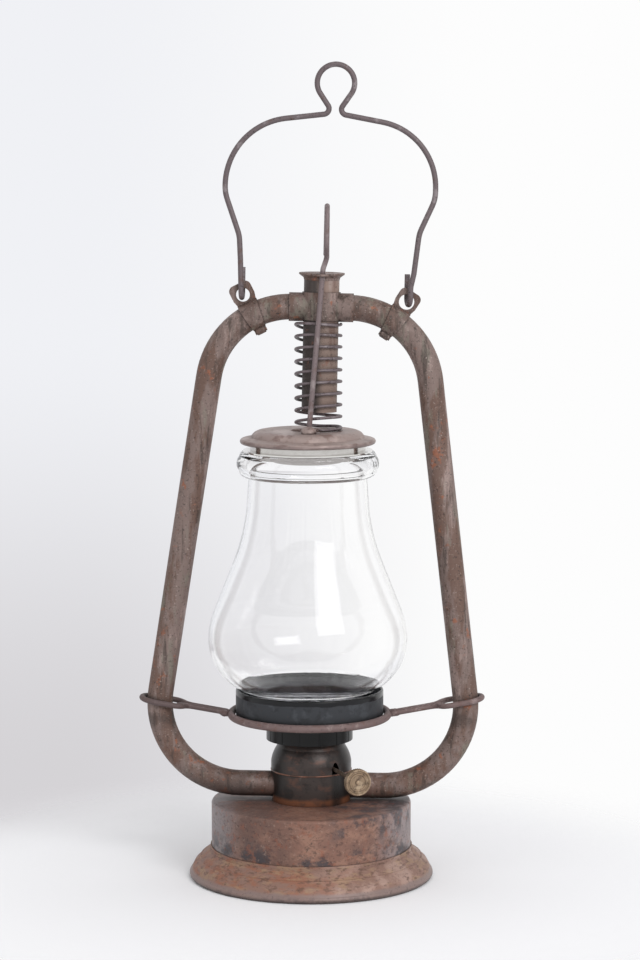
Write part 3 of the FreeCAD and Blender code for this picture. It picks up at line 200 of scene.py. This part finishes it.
def clear_glass(name):
    """Blown soda-lime glass: clear, with a smooth gloss that the mould leaves faintly wavy.

    Rays from the lamps and between dull surfaces pass straight through it, so what stands inside stays lit.
    """
    material, tree, place = fresh(name)
    wave = add(tree, "ShaderNodeTexNoise", {"Vector": place, "Scale": 1 / (MOULD_WAVE * MM), "Detail": 1})
    bump = add(tree, "ShaderNodeBump", {"Height": wave.outputs["Fac"], "Strength": 0.05, "Distance": 1 * MM})
    glass = add(tree, "ShaderNodeBsdfPrincipled", {
        "Base Color": linear("#ffffff"), "Roughness": 0.02, "IOR": 1.47, "Transmission Weight": 1.0,
        "Normal": bump.outputs["Normal"],
    })
    path = add(tree, "ShaderNodeLightPath").outputs
    passed = add(tree, "ShaderNodeMath", {0: path["Is Shadow Ray"], 1: path["Is Diffuse Ray"]},
                 operation="MAXIMUM").outputs[0]
    hole = add(tree, "ShaderNodeBsdfTransparent", {"Color": linear("#f6f6f6")})
    both = add(tree, "ShaderNodeMixShader", {0: passed, 1: glass.outputs[0], 2: hole.outputs[0]})
    add(tree, "ShaderNodeOutputMaterial", {"Surface": both.outputs[0]})
    return material


LENGTHWISE = (1, 1, 0.22)  # patches drawn out upwards, along a tube
ROUND = (1, 1, 4)  # patches drawn out round a drum
WHOLE = {"size": 30, "low": 0.05, "high": 0.1}  # noise cut so low that only its bounds shape the coat
# the inside of the cup, where the light falling into it is painted
CUP_INSIDE_PAINTED_LIGHT = ((Z, 96.5, 98.5), (REACH, 44.2, 43.4))

FINISHES = {
    # Rolled tinplate whose tin is gone: red-brown oxide streaked round the drum, under dull dark stains
    "fount_tin": aged_tin("rusted_fount_tin", "#795c52", [
        coat("#99776a", 0.7, 16, 0.5, 0.62, ROUND, rough=0.5),
        coat("#5d463e", 0.7, 7, 0.5, 0.63, ROUND),
        coat("#8e543a", 0.6, 10, 0.58, 0.68),
        coat("#4b4348", 0.7, 18, 0.46, 0.6),
        coat("#2c2523", 0.6, 1.5, 0.6, 0.7),
    ], dent=0.25, seed=0.1),
    # Tinned steel tube, drawn and soldered, its tin gone: mauve-brown oxide, with grey streaks and dark flecks
    # along it and rust spots, darker low down and at the crown, painted shade at the left foot and a painted
    # shadow under the guard wires, which also rub it
    "frame_tin": aged_tin("rusted_tube_tin", "#7b6963", [
        coat("#9c8882", 0.8, 13, 0.5, 0.6, LENGTHWISE, rough=0.48),
        coat("#644b40", 0.85, 10, 0.49, 0.59, LENGTHWISE),
        coat("#66493c", 0.7, 14, 0.42, 0.58, within=((Z, 110, 80),)),
        coat("#5a4740", 0.7, 12, 0.42, 0.58, within=((Z, 325, 345),)),
        coat("#7b7a6d", 0.5, 8, 0.55, 0.66, LENGTHWISE),
        coat("#93583d", 0.75, 9, 0.6, 0.67),
        coat("#40352f", 0.75, 4.5, 0.53, 0.66, (1, 1, 0.14)),
        coat("#2c2523", 0.75, 1.4, 0.56, 0.66),
        coat("#b3a49c", 0.6, 1.1, 0.6, 0.68),
        # painted shade on the left foot, next to the drum and the chamber
        coat("#352b28", 0.8, 16, 0.2, 0.45, within=((Z, 72, 50), (X, -10, -45))),
        # painted shadow under the guard wires, where they also rub the tube
        coat("#40342f", 0.65, 8, 0.3, 0.5, within=((Z, 90, 97), (Z, 104, 100))),
    ], grain=0.12, seed=0.3),
    # Thin tinplate, spun and soldered, bleached by heat: pale mauve-grey, dully shiny where it is rubbed, with
    # a smoother lower bead painted darker for the shade under the rim
    "bell_tin": aged_tin("rusted_bell_tin", "#998883", [
        coat("#b09d97", 0.65, 14, 0.5, 0.64, rough=0.36),
        coat("#77605a", 0.75, 8, 0.52, 0.63),
        # painted shade: the lower bead is darkened for the shade under the rim, and its lower roughness is its own
        coat("#6d5c5a", 0.6, 12, 0.3, 0.5, (1, 1, 3), within=((Z, 270.5, 268.8),), rough=0.3),
        coat("#94614c", 0.5, 6, 0.62, 0.7),
        coat("#564946", 0.6, 2.2, 0.6, 0.7),
    ], rough=0.5, metal=0.25, dent=0.2, seed=0.5),
    # Pressed tinplate browned and blued by the flame: dark and half glossy, with a few places rubbed grey
    "burner_tin": aged_tin("heated_burner_tin", "#443a36", [
        coat("#6b4535", 0.7, 10, 0.54, 0.64),
        coat("#211d1c", 0.75, 8, 0.5, 0.62),
        coat("#7d7470", 0.6, 6, 0.6, 0.7, rough=0.4),
        coat("#191615", 0.6, 1.6, 0.58, 0.7),
    ], rough=0.48, metal=0.3, seed=0.7),
    # Pressed tinplate, painted black and sooted: blue-black and dull on the cup's wall, glossy in a chipped
    # band under its rim and on the ring below, and painted pale inside for the light that falls into the cup
    "black_tin": aged_tin("sooty_black_tin", "#34363a", [
        coat("#484b50", 0.5, 12, 0.5, 0.62, rough=0.42),
        coat("#26272a", 0.6, 6, 0.52, 0.62),
        # painted light: the cup's inside is made pale for the light that falls into it
        coat("#d0d0d6", 0.95, 14, 0.2, 0.5, within=CUP_INSIDE_PAINTED_LIGHT),
        coat("#8a8a90", 0.7, 8, 0.5, 0.62, (1, 3, 1), within=CUP_INSIDE_PAINTED_LIGHT),
        coat("#4a3a32", 0.5, 5, 0.62, 0.7),
        coat("#101114", 0.95, **WHOLE, within=((Z, 112.8, 113.6),), rough=0.22),
        coat("#060708", 0.97, **WHOLE, within=((Z, 98.5, 96.5),), rough=0.3),
    ], rough=0.55, metal=0.1, shine=0.3, corner_shade="#151515", seed=0.9, wander=2.4, middle=(CUP_MIDDLE, 0)),
    # Drawn iron wire, rusted and handled: mauve-brown, greyer and smoother where it is rubbed, darker at the
    # left
    "guard_wire": aged_tin("rusted_guard_wire", "#705d5b", [
        coat("#8f7e7c", 0.65, 9, 0.54, 0.64, rough=0.45),
        coat("#6b5048", 0.7, 7, 0.54, 0.64),
        coat("#3c3231", 0.7, 2.2, 0.58, 0.68),
        coat("#403536", 0.5, 30, 0.1, 0.2, within=((X, -46, -60),)),
    ], seed=1.1),
    # Drawn iron wire of the bail: a cool grey-brown with a low metal gloss and small dark pits
    "bail_wire": aged_tin("dark_bail_wire", "#655a5c", [
        coat("#8b8284", 0.7, 10, 0.54, 0.64, rough=0.42),
        coat("#5d463c", 0.6, 7, 0.56, 0.66),
        coat("#2f2929", 0.7, 2, 0.58, 0.68),
    ], rough=0.55, metal=0.3, seed=1.3),
    # Drawn iron wire that slides in its guide, so it is paler and more rubbed than the bail
    "lift_wire": aged_tin("dark_lift_wire", "#77696a", [
        coat("#988d8d", 0.7, 10, 0.52, 0.64, rough=0.42),
        coat("#66504a", 0.6, 7, 0.56, 0.66),
        coat("#37302f", 0.7, 2, 0.58, 0.68),
    ], rough=0.55, metal=0.3, seed=1.5),
    # Coiled spring steel, smoked by the draught: grey, with a metal gloss along each coil and rust between them
    "spring_wire": aged_tin("dark_spring_wire", "#72676a", [
        coat("#8a8183", 0.7, 8, 0.52, 0.62, rough=0.4),
        coat("#4a3731", 0.6, 6, 0.54, 0.64),
        coat("#241f1f", 0.7, 2, 0.56, 0.68),
    ], rough=0.5, metal=0.4, seed=1.7),
    # Turned steel filmed with lamp oil: brown-grey, with brighter worn places
    "shaft_steel": aged_tin("dull_shaft_steel", "#6c5c50", [
        coat("#8d8076", 0.7, 5, 0.5, 0.62, rough=0.35),
        coat("#3b2f2a", 0.7, 3, 0.54, 0.66),
    ], rough=0.45, metal=0.5, seed=1.9),
    # Stamped brass, worn by fingers and gone grey-brown: glossy where it is rubbed, dark in its pits
    "knob_brass": aged_tin("worn_grey_brass", "#957f68", [
        coat("#bda78d", 0.75, 5, 0.5, 0.62, rough=0.32),
        coat("#5d4c3f", 0.7, 4, 0.52, 0.64),
        coat("#352b25", 0.7, 1.3, 0.58, 0.68),
    ], rough=0.42, metal=0.5, grain=0.08, seed=2.1),
    # Turned brass, tarnished: olive-brown with dull golden places
    "cap_brass": aged_tin("dull_cap_brass", "#7d6a4b", [
        coat("#9d875f", 0.7, 8, 0.5, 0.62, rough=0.35),
        coat("#4f5241", 0.6, 6, 0.55, 0.66),
        coat("#382e22", 0.7, 1.5, 0.58, 0.68),
    ], rough=0.45, metal=0.6, seed=2.3),
    # Pressed cork: tan and brown crumbs of one to three millimetres, quite matt
    "cork": aged_tin("pressed_cork", "#8d6c47", [
        coat("#6b4e31", 0.8, 1.6, 0.5, 0.6),
        coat("#a98a62", 0.6, 2.4, 0.52, 0.62),
    ], rough=0.9, metal=0.0, grain=0.3, seed=2.5),
    "globe_glass": clear_glass("clear_blown_glass"),
    # Woven cotton: a matt cream mottled across by its 0.8 mm threads, charred black at the wick's top
    "cotton": aged_tin("charred_wick_cotton", "#c9bda4", [
        coat("#a89a80", 0.6, 0.8, 0.45, 0.6, (1, 1, 3)),
        coat("#2a2522", 0.95, **WHOLE, within=((Z, 93, 97),)),
    ], rough=0.95, metal=0.0, grain=0.3, seed=2.7, wander=3),
}

# The fount's drum, of rolled tinplate: grey at its sides, red-brown in front, with blue-black stains low down
# and at the upper right and a line of tan dust over the skirt
DRUM = aged_tin("stained_drum_tin", "#7f5d50", [
    coat("#94705f", 0.75, 13, 0.46, 0.6, (1, 1, 1.6), rough=0.5),
    coat("#5b4640", 0.75, 24, 0.3, 0.56, within=((X, -4, -24),)),
    coat("#857d7e", 0.85, 20, 0.25, 0.5, within=((X, -40, -58),), rough=0.45),
    coat("#8f8586", 0.85, 20, 0.25, 0.5, within=((X, 34, 54),), rough=0.45),
    coat("#36353b", 0.85, 17, 0.47, 0.57, (1, 1, 1.5), within=((Z, 35, 22),)),
    coat("#3f3c41", 0.8, 15, 0.47, 0.58, within=((Z, 30, 40), (X, 4, 22))),
    coat("#8d7355", 0.75, 12, 0.42, 0.6, (1, 1, 2), within=((Z, 19, 15.5),)),
    coat("#8a4f38", 0.5, 5, 0.54, 0.66),
    coat("#4a3630", 0.6, 3, 0.53, 0.64, (1, 1, 1.5)),
    coat("#a58b7c", 0.4, 2, 0.58, 0.68),
    coat("#2b2423", 0.5, 1.2, 0.57, 0.67),
], dent=0.3, seed=3.1)

# The flared skirt, of pressed tinplate: orange rust on the left and in front, paler to the right, with a
# mauve-grey bead
SKIRT = aged_tin("rusted_skirt_tin", "#86685c", [
    coat("#a88c80", 0.8, 16, 0.42, 0.6, within=((X, -10, 30),), rough=0.5),
    coat("#8f5c45", 0.8, 13, 0.44, 0.6, (1, 1, 2.5), within=((X, 50, -20),)),
    coat("#9c8064", 0.6, 12, 0.5, 0.64, (1, 1, 3)),
    coat("#5c4338", 0.75, 5, 0.52, 0.66, (1, 1, 2.5)),
    coat("#7f6d69", 0.85, 20, 0.15, 0.3, within=((Z, 6.5, 4.5),), rough=0.45),
    coat("#3f332f", 0.55, 1.4, 0.58, 0.68),
    coat("#4c4140", 0.6, 12, 0.5, 0.62, within=((Z, 5, 2),)),
], dent=0.25, seed=3.3, wander=3)

# The draught tube, of rolled tinplate: dark and matt on its left, grey-brown on its right
STACK = aged_tin("dark_sided_stack_tin", "#8f7a70", [
    coat("#a3928b", 0.7, 9, 0.5, 0.62, LENGTHWISE, rough=0.45),
    coat("#6f544a", 0.6, 8, 0.52, 0.62, LENGTHWISE),
    # darker and matt on the tube's left side
    coat("#322c2b", 0.88, 18, 0.1, 0.35, LENGTHWISE, within=((X, 7.0, 1.5),)),
    coat("#8a5540", 0.5, 6, 0.6, 0.68),
    coat("#2b2423", 0.65, 1.5, 0.58, 0.68),
], seed=3.5, wander=3)

# The rolled seam round the dome's foot: tinplate rubbed to a smooth red-brown
SEAM = aged_tin("rubbed_seam_tin", "#7d5747", [
    coat("#4a3832", 0.8, 8, 0.5, 0.62),
    coat("#9c8076", 0.6, 5, 0.58, 0.68, rough=0.35),
], rough=0.42, metal=0.3, seed=4.3)

# The burner's chamber and dome, of pressed tinplate: brown-black and half glossy from heat, blacker at the
# sides, with an orange rim of rust at the chamber's foot and a run of black lamp oil under the keyhole
CHAMBER = aged_tin("heat_blackened_tin", "#3a312e", [
    coat("#5d3f33", 0.7, 12, 0.5, 0.64, (1, 1, 2)),
    coat("#1d1918", 0.75, 9, 0.5, 0.62),
    coat("#1b1817", 0.85, 20, 0.15, 0.4, within=((X, -12, -20),)),
    coat("#1b1817", 0.85, 20, 0.15, 0.4, within=((X, 11, 19),)),
    coat("#5f5856", 0.5, 4, 0.64, 0.72, rough=0.34),
    coat("#181514", 0.6, 1.6, 0.58, 0.7),
    coat("#8a5638", 0.85, 10, 0.3, 0.5, within=((Z, 52.5, 49.5),)),
    coat("#151211", 0.8, **WHOLE, within=((Z, 67, 65), (X, 10.5, 14), (X, 20, 16)), rough=0.25),
], rough=0.36, metal=0.35, seed=3.7, wander=2)

# The bell's inner sleeve: tinplate still bright, out of the weather, so it mirrors the pale room
SLEEVE = aged_tin("bright_sleeve_tin", "#ecebe8", [
    coat("#dddbd8", 0.5, 8, 0.5, 0.64, rough=0.2),
    coat("#a59b94", 0.3, 3, 0.62, 0.72),
], rough=0.12, metal=1.0, grain=0.03, corner_shade="#8a8480", seed=3.9)

# The gallery and the cone by the flame: pressed tinplate greyed by heat and ash, matt
ASHY = aged_tin("ashy_grey_tin", "#97979d", [
    coat("#b5b5ba", 0.7, 7, 0.5, 0.62),
    coat("#5d5a5a", 0.7, 5, 0.5, 0.62),
    coat("#3a3431", 0.6, 2, 0.58, 0.68),
], rough=0.6, metal=0.1, corner_shade="#4a4747", seed=4.1)

OWN_FINISHES = {
    "fount_drum": DRUM, "base_skirt": SKIRT, "stack_tube": STACK, "burner_chamber": CHAMBER,
    "burner_dome": CHAMBER, "burner_gallery": ASHY, "burner_cone": ASHY, "bell_sleeve": SLEEVE,
}


def dress_nodes():
    """Gives every node of the frame its own finish or that of its material slot."""
    for row in frame["record"]["subparts"]:
        node = frame["nodes"][row["node"]]
        node.data.materials.clear()
        node.data.materials.append(OWN_FINISHES.get(row["node"], FINISHES[row["material_slot"]]))


def turns(count):
    """Angles once round a circle, the last one a step short of the first."""
    return np.linspace(0, 2 * math.pi, count, endpoint=False)


def grid_faces(rows, columns, rows_close=False):
    """Faces between the points of a grid whose columns close round it, and its rows too where that is said.

    They point outwards where the columns turn to the left seen from the last row.
    """
    row, column = np.meshgrid(np.arange(rows if rows_close else rows - 1), np.arange(columns), indexing="ij")
    above, after = (row + 1) % rows, (column + 1) % columns
    return np.stack([row * columns + column, row * columns + after,
                     above * columns + after, above * columns + column], axis=-1).reshape(-1, 4).tolist()


def fan_faces(ring, pole):
    """Triangles from a pole to each step of a ring of points."""
    return np.stack([np.full(len(ring), pole), ring, np.roll(ring, -1)], axis=-1).tolist()


def smooth_object(name, places, faces, finish):
    """An object at the origin with smooth faces between places in mm, in its finish."""
    mesh = bpy.data.meshes.new(name)
    mesh.from_pydata((places * MM).tolist(), [], faces)
    mesh.polygons.foreach_set("use_smooth", np.ones(len(mesh.polygons), dtype=bool))
    mesh.materials.append(finish)
    mesh.update()
    piece = bpy.data.objects.new(name, mesh)
    bpy.context.scene.collection.objects.link(piece)
    return piece


def closed_piece(name, points, finish):
    """A closed piece from a grid of points in mm, with a pole at each end: rows run along it, columns round it."""
    rows, columns = points.shape[:2]
    ring = np.arange(columns)
    faces = grid_faces(rows, columns)
    faces += fan_faces(ring[::-1], rows * columns)
    faces += fan_faces((rows - 1) * columns + ring, rows * columns + 1)
    places = np.vstack([points.reshape(-1, 3), points[0].mean(axis=0), points[-1].mean(axis=0)])
    piece = smooth_object(name, places, faces, finish)
    return piece


def swept(path, side, radius, around):
    """A round profile carried along a path: circles of the given radii in the plane across the path.

    Side gives at each place a direction that the circle's start is turned to.
    """
    along = np.gradient(path, axis=0)
    along /= np.linalg.norm(along, axis=1, keepdims=True)
    first = side - (side * along).sum(axis=1, keepdims=True) * along
    first /= np.linalg.norm(first, axis=1, keepdims=True)
    second = np.cross(along, first)
    turn = turns(around)[None, :, None]
    circle = np.cos(turn) * first[:, None] + np.sin(turn) * second[:, None]
    return path[:, None] + radius[:, None, None] * circle


def eased(value, start, end):
    """Smooth change from 0 at the start to 1 at the end: three times the square less twice the cube."""
    share = np.clip((value - start) / (end - start), 0, 1)
    return share * share * (3 - 2 * share)


def spring_line(turn):
    """The spring's middle line: a circle that climbs by its pitch after a first quarter turn that lies flat.

    Its tilt adds the sine of the angle, which lifts the front of every coil and fades in the last ones, and the
    cosine, which lifts the left side by the square of how far up the spring it is.
    """
    flat_turns, soft_turns = 0.25, 0.08  # the flat start, and how gently the climb takes over from it
    front_lift, left_lift = 1.8, 1.9
    lift_starts, lift_whole = -0.02, 0.27  # in turns climbed
    fade_starts, fade_ends, faded_share = 8.3, 9.02, 0.7
    angle = math.radians(-90) + 2 * math.pi * turn
    climbed = turn - flat_turns
    rise = SPRING_PITCH * (climbed + np.hypot(climbed, soft_turns)) / 2
    front = eased(climbed, lift_starts, lift_whole) - faded_share * eased(climbed, fade_starts, fade_ends)
    left = (turn / SPRING_TURNS) ** 2
    tilt = -front * front_lift * np.sin(angle) - left * left_lift * np.cos(angle)
    return np.stack([SPRING_MIDDLE + SPRING_REACH * np.cos(angle), SPRING_REACH * np.sin(angle),
                     SPRING_FOOT + rise + tilt], axis=-1)


def make_spring():
    """The coil spring in two lengths that meet at one turn.

    Each length is the spring's round wire, a circle carried along the climbing coil. At the wire's two ends the
    circle shrinks as a half circle does, down to a fifth.
    """
    points_a_turn, wire_points = 56, 14
    wire_a_turn = 86  # mm of wire in one turn
    least_share = 0.2  # of the wire's radius, at its very ends
    lengths = (("spring_lower", 0, SPRING_JOIN, "carriage", "bell"),
               ("spring_upper", SPRING_JOIN, SPRING_TURNS, "frame", "carriage"))
    for name, start, end, upper_body, lower_body in lengths:
        turn = np.linspace(start, end, int((end - start) * points_a_turn))
        path = spring_line(turn)
        side = path * (1, 1, 0) - (SPRING_MIDDLE, 0, 0)
        from_end = np.minimum(turn, SPRING_TURNS - turn) * wire_a_turn
        rounding = 1 - (1 - np.clip(from_end / SPRING_WIRE, 0, 1)) ** 2
        radius = SPRING_WIRE * np.sqrt(np.clip(rounding, least_share ** 2, 1))
        wire = swept(path, side, radius, wire_points)
        piece = closed_piece(name, wire, FINISHES["spring_wire"])
        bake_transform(piece)
        if name == "spring_lower":
            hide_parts("lift_spring")


def solder_lump(name, centre, radii, body, slot, seed, turn=0.0):
    """A run of solder: an ellipsoid whose radius swells and sinks by a few slow waves round and along it.

    The waves are the sine of three times the angle round it, times the sine of twice the angle along it, and a
    weaker cosine of five times the one and three times the other. Turn tips the whole about the y axis.
    """
    rings, ring_points, pole_gap, wave_share = 22, 32, 0.04, 0.06
    along = np.linspace(pole_gap, math.pi - pole_gap, rings)[:, None]
    around = turns(ring_points)[None, :]
    waves = np.sin(3 * around + seed) * np.sin(2 * along) + 0.6 * np.cos(5 * around + 2 * seed + 3 * along)
    swell = 1 + wave_share * waves
    x = radii[0] * np.sin(along) * np.cos(around) * swell
    y = radii[1] * np.sin(along) * np.sin(around) * swell
    z = -radii[2] * np.cos(along) * swell
    tipped = np.stack([x * math.cos(turn) + z * math.sin(turn), y,
                       z * math.cos(turn) - x * math.sin(turn)], axis=-1)
    piece = closed_piece(name, tipped + np.array(centre), FINISHES[slot])
    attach(piece, body)


def make_solder():
    """Solder where wires meet tin: the lift wire's foot on the bell and the guard's four joints to its ring."""
    solder_lump("solder_lift_foot", (-1.9, -20.0, 276.2), (4.6, 6.0, 3.3), "bell", "bell_tin", seed=1)
    ring_reach, ring_height = 51.6, 101.25
    loop_reach, loop_height = 76.5, 105.75
    for side, sign in (("left", -1), ("right", 1)):
        solder_lump(f"solder_guard_{side}", (sign * ring_reach + CUP_MIDDLE, 0, ring_height), (4.4, 3.9, 2.35),
                    "carriage", "guard_wire", seed=2 + sign, turn=-sign * 0.1)
        solder_lump(f"solder_loop_{side}", (sign * loop_reach + GUARD_LOOP_MIDDLE, 0, loop_height),
                    (5.6, 2.9, 1.5), "carriage", "guard_wire", seed=4 + sign, turn=-sign * 0.18)


def make_dome_seam():
    """The rolled foot of the dome, where it sits over the chamber: a small circle carried round a large one."""
    seam_reach, seam_radius, seam_height = 24.55, 0.5, 66.3
    section_points, ring_points = 10, 96
    section, around = turns(section_points)[:, None], turns(ring_points)
    reach = seam_reach + seam_radius * np.cos(section)
    points = np.stack([SIDE_SHIFT + reach * np.cos(around), reach * np.sin(around),
                       seam_height + seam_radius * np.sin(section) + 0 * around], axis=-1)
    faces = grid_faces(*points.shape[:2], rows_close=True)
    piece = smooth_object("dome_seam", points.reshape(-1, 3), faces, SEAM)
    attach(piece, "frame")


def fading_paper(name, whole, gone):
    """Matt white paper that fades out between two distances from its middle, in mm."""
    material, tree, place = fresh(name)
    away = add(tree, "ShaderNodeVectorMath", {0: place}, operation="LENGTH").outputs["Value"]
    fade = add(tree, "ShaderNodeMapRange", {"Value": away, "From Min": whole * MM, "From Max": gone * MM},
               interpolation_type="SMOOTHSTEP").outputs[0]
    paper = add(tree, "ShaderNodeBsdfPrincipled", {
        "Base Color": linear("#f4f4f6"), "Roughness": 0.9, "Specular IOR Level": 0.1,
    })
    hole = add(tree, "ShaderNodeBsdfTransparent")
    both = add(tree, "ShaderNodeMixShader", {0: fade, 1: paper.outputs[0], 2: hole.outputs[0]})
    add(tree, "ShaderNodeOutputMaterial", {"Surface": both.outputs[0]})
    return material


def make_floor():
    """A flat disc of paper under the lantern, of rings from its edge in to its middle."""
    edge, whole, gone = 340, 150, 310  # the disc's radius, and where its paper starts to fade and is gone
    rings, ring_points = 17, 64
    reach = np.linspace(edge, 0, rings + 1)[:-1, None]
    around = turns(ring_points)
    points = np.stack([reach * np.cos(around), reach * np.sin(around), 0 * reach * around], axis=-1)
    rows, columns = points.shape[:2]
    faces = grid_faces(rows, columns) + fan_faces((rows - 1) * columns + np.arange(columns), rows * columns)
    places = np.vstack([points.reshape(-1, 3), (0, 0, 0)])
    floor = smooth_object("floor", places, faces, fading_paper("white_paper", whole, gone))


def layered(tree, axes, base, layers):
    """A colour with others laid over it, each bounded by ramps along the axes."""
    colour = base
    for over, ramps in layers:
        mask = masked(tree, 1.0, [(axes[axis], start, end) for axis, start, end in ramps])
        colour = add(tree, "ShaderNodeMix", {0: mask, 6: colour, 7: over}, data_type="RGBA").outputs[2]
    return colour


def make_world():
    """Even light from all round, and for rays that see it a pale wall over a paler table.

    The wall has painted shade on its left and, low on the left, a painted shadow of the lantern. Its ramps are
    along
    the direction that a ray leaves in: x to the right, y away from the camera and z up.
    """
    world = bpy.data.worlds.new("studio")
    bpy.context.scene.world = world
    world.use_nodes = True
    tree = world.node_tree
    tree.nodes.clear()
    path = add(tree, "ShaderNodeLightPath").outputs
    seen = path["Is Camera Ray"]
    for other in ("Is Glossy Ray", "Is Transmission Ray"):
        seen = add(tree, "ShaderNodeMath", {0: seen, 1: path[other]}, operation="MAXIMUM").outputs[0]
    direction = add(tree, "ShaderNodeTexCoord").outputs["Generated"]
    axes = add(tree, "ShaderNodeSeparateXYZ", {"Vector": direction}).outputs
    wall_foot, table_edge = -0.226, -0.247
    # the wall's left, where its shade and the lantern's shadow are painted
    left = ((X, 0.06, -0.085), (Y, 0.3, 0.8))
    wall = layered(tree, axes, linear("#fdfdfd"), (
        # painted shade over the wall's left side
        (linear("#f0f1f5"), left),
        # painted shadow of the lantern, low on the left of the wall
        (linear("#d5d3d6"), left + ((Z, -0.065, -0.215), (Z, table_edge, wall_foot))),
        (linear("#f6f6f8"), ((Z, wall_foot, table_edge),)),
    ))
    back_light, front_light, top_light = (0.56, 0.56, 0.57, 1), (0.74, 0.74, 0.75, 1), (0.95, 0.95, 0.95, 1)
    light = layered(tree, axes, back_light, ((front_light, ((Y, 0.7, -0.7),)), (top_light, ((Z, 0.35, 1.0),))))
    shown = add(tree, "ShaderNodeMix", {0: seen, 6: light, 7: wall}, data_type="RGBA").outputs[2]
    back = add(tree, "ShaderNodeBackground", {"Color": shown, "Strength": 1.0})
    add(tree, "ShaderNodeOutputWorld", {"Surface": back.outputs[0]})


def make_softbox():
    """One large soft lamp to the right of the camera: nested rectangles, so its reflections have soft edges."""
    azimuth, elevation, distance = math.radians(29), math.radians(28), 2.2
    width, height, power = 1.25, 0.8, 4.3
    aim = np.array([0.0, 0.0, 0.2])
    toward = np.array([math.sin(azimuth) * math.cos(elevation), -math.cos(azimuth) * math.cos(elevation),
                       math.sin(elevation)])
    for share in (0.45, 0.62, 0.78, 0.9, 1.0):
        name = f"softbox_{share:.2f}"
        lamp = bpy.data.lights.new(name, "AREA")
        lamp.shape = "RECTANGLE"
        lamp.energy, lamp.size, lamp.size_y = power, width * share, height * share
        holder = bpy.data.objects.new(name, lamp)
        bpy.context.scene.collection.objects.link(holder)
        holder.location = aim + toward * distance
        holder.rotation_euler = (math.pi / 2 - elevation, 0, azimuth)


def make_camera():
    """The photograph's camera, tilted down from level by its pitch."""
    camera = bpy.data.cameras.new("camera")
    camera.sensor_width = SENSOR
    camera.lens = CAMERA_LENS
    camera.clip_end = 30
    holder = bpy.data.objects.new("camera", camera)
    bpy.context.scene.collection.objects.link(holder)
    holder.location = CAMERA_PLACE
    holder.rotation_euler = (math.pi / 2 - CAMERA_PITCH, 0, 0)
    bpy.context.scene.camera = holder


def studio():
    """A pale sweep with its light, one large soft lamp and the camera."""
    bpy.context.scene.view_settings.view_transform = "Standard"
    make_floor()
    make_world()
    make_softbox()
    make_camera()


dress_nodes()
make_spring()
make_solder()
make_dome_seam()
studio()
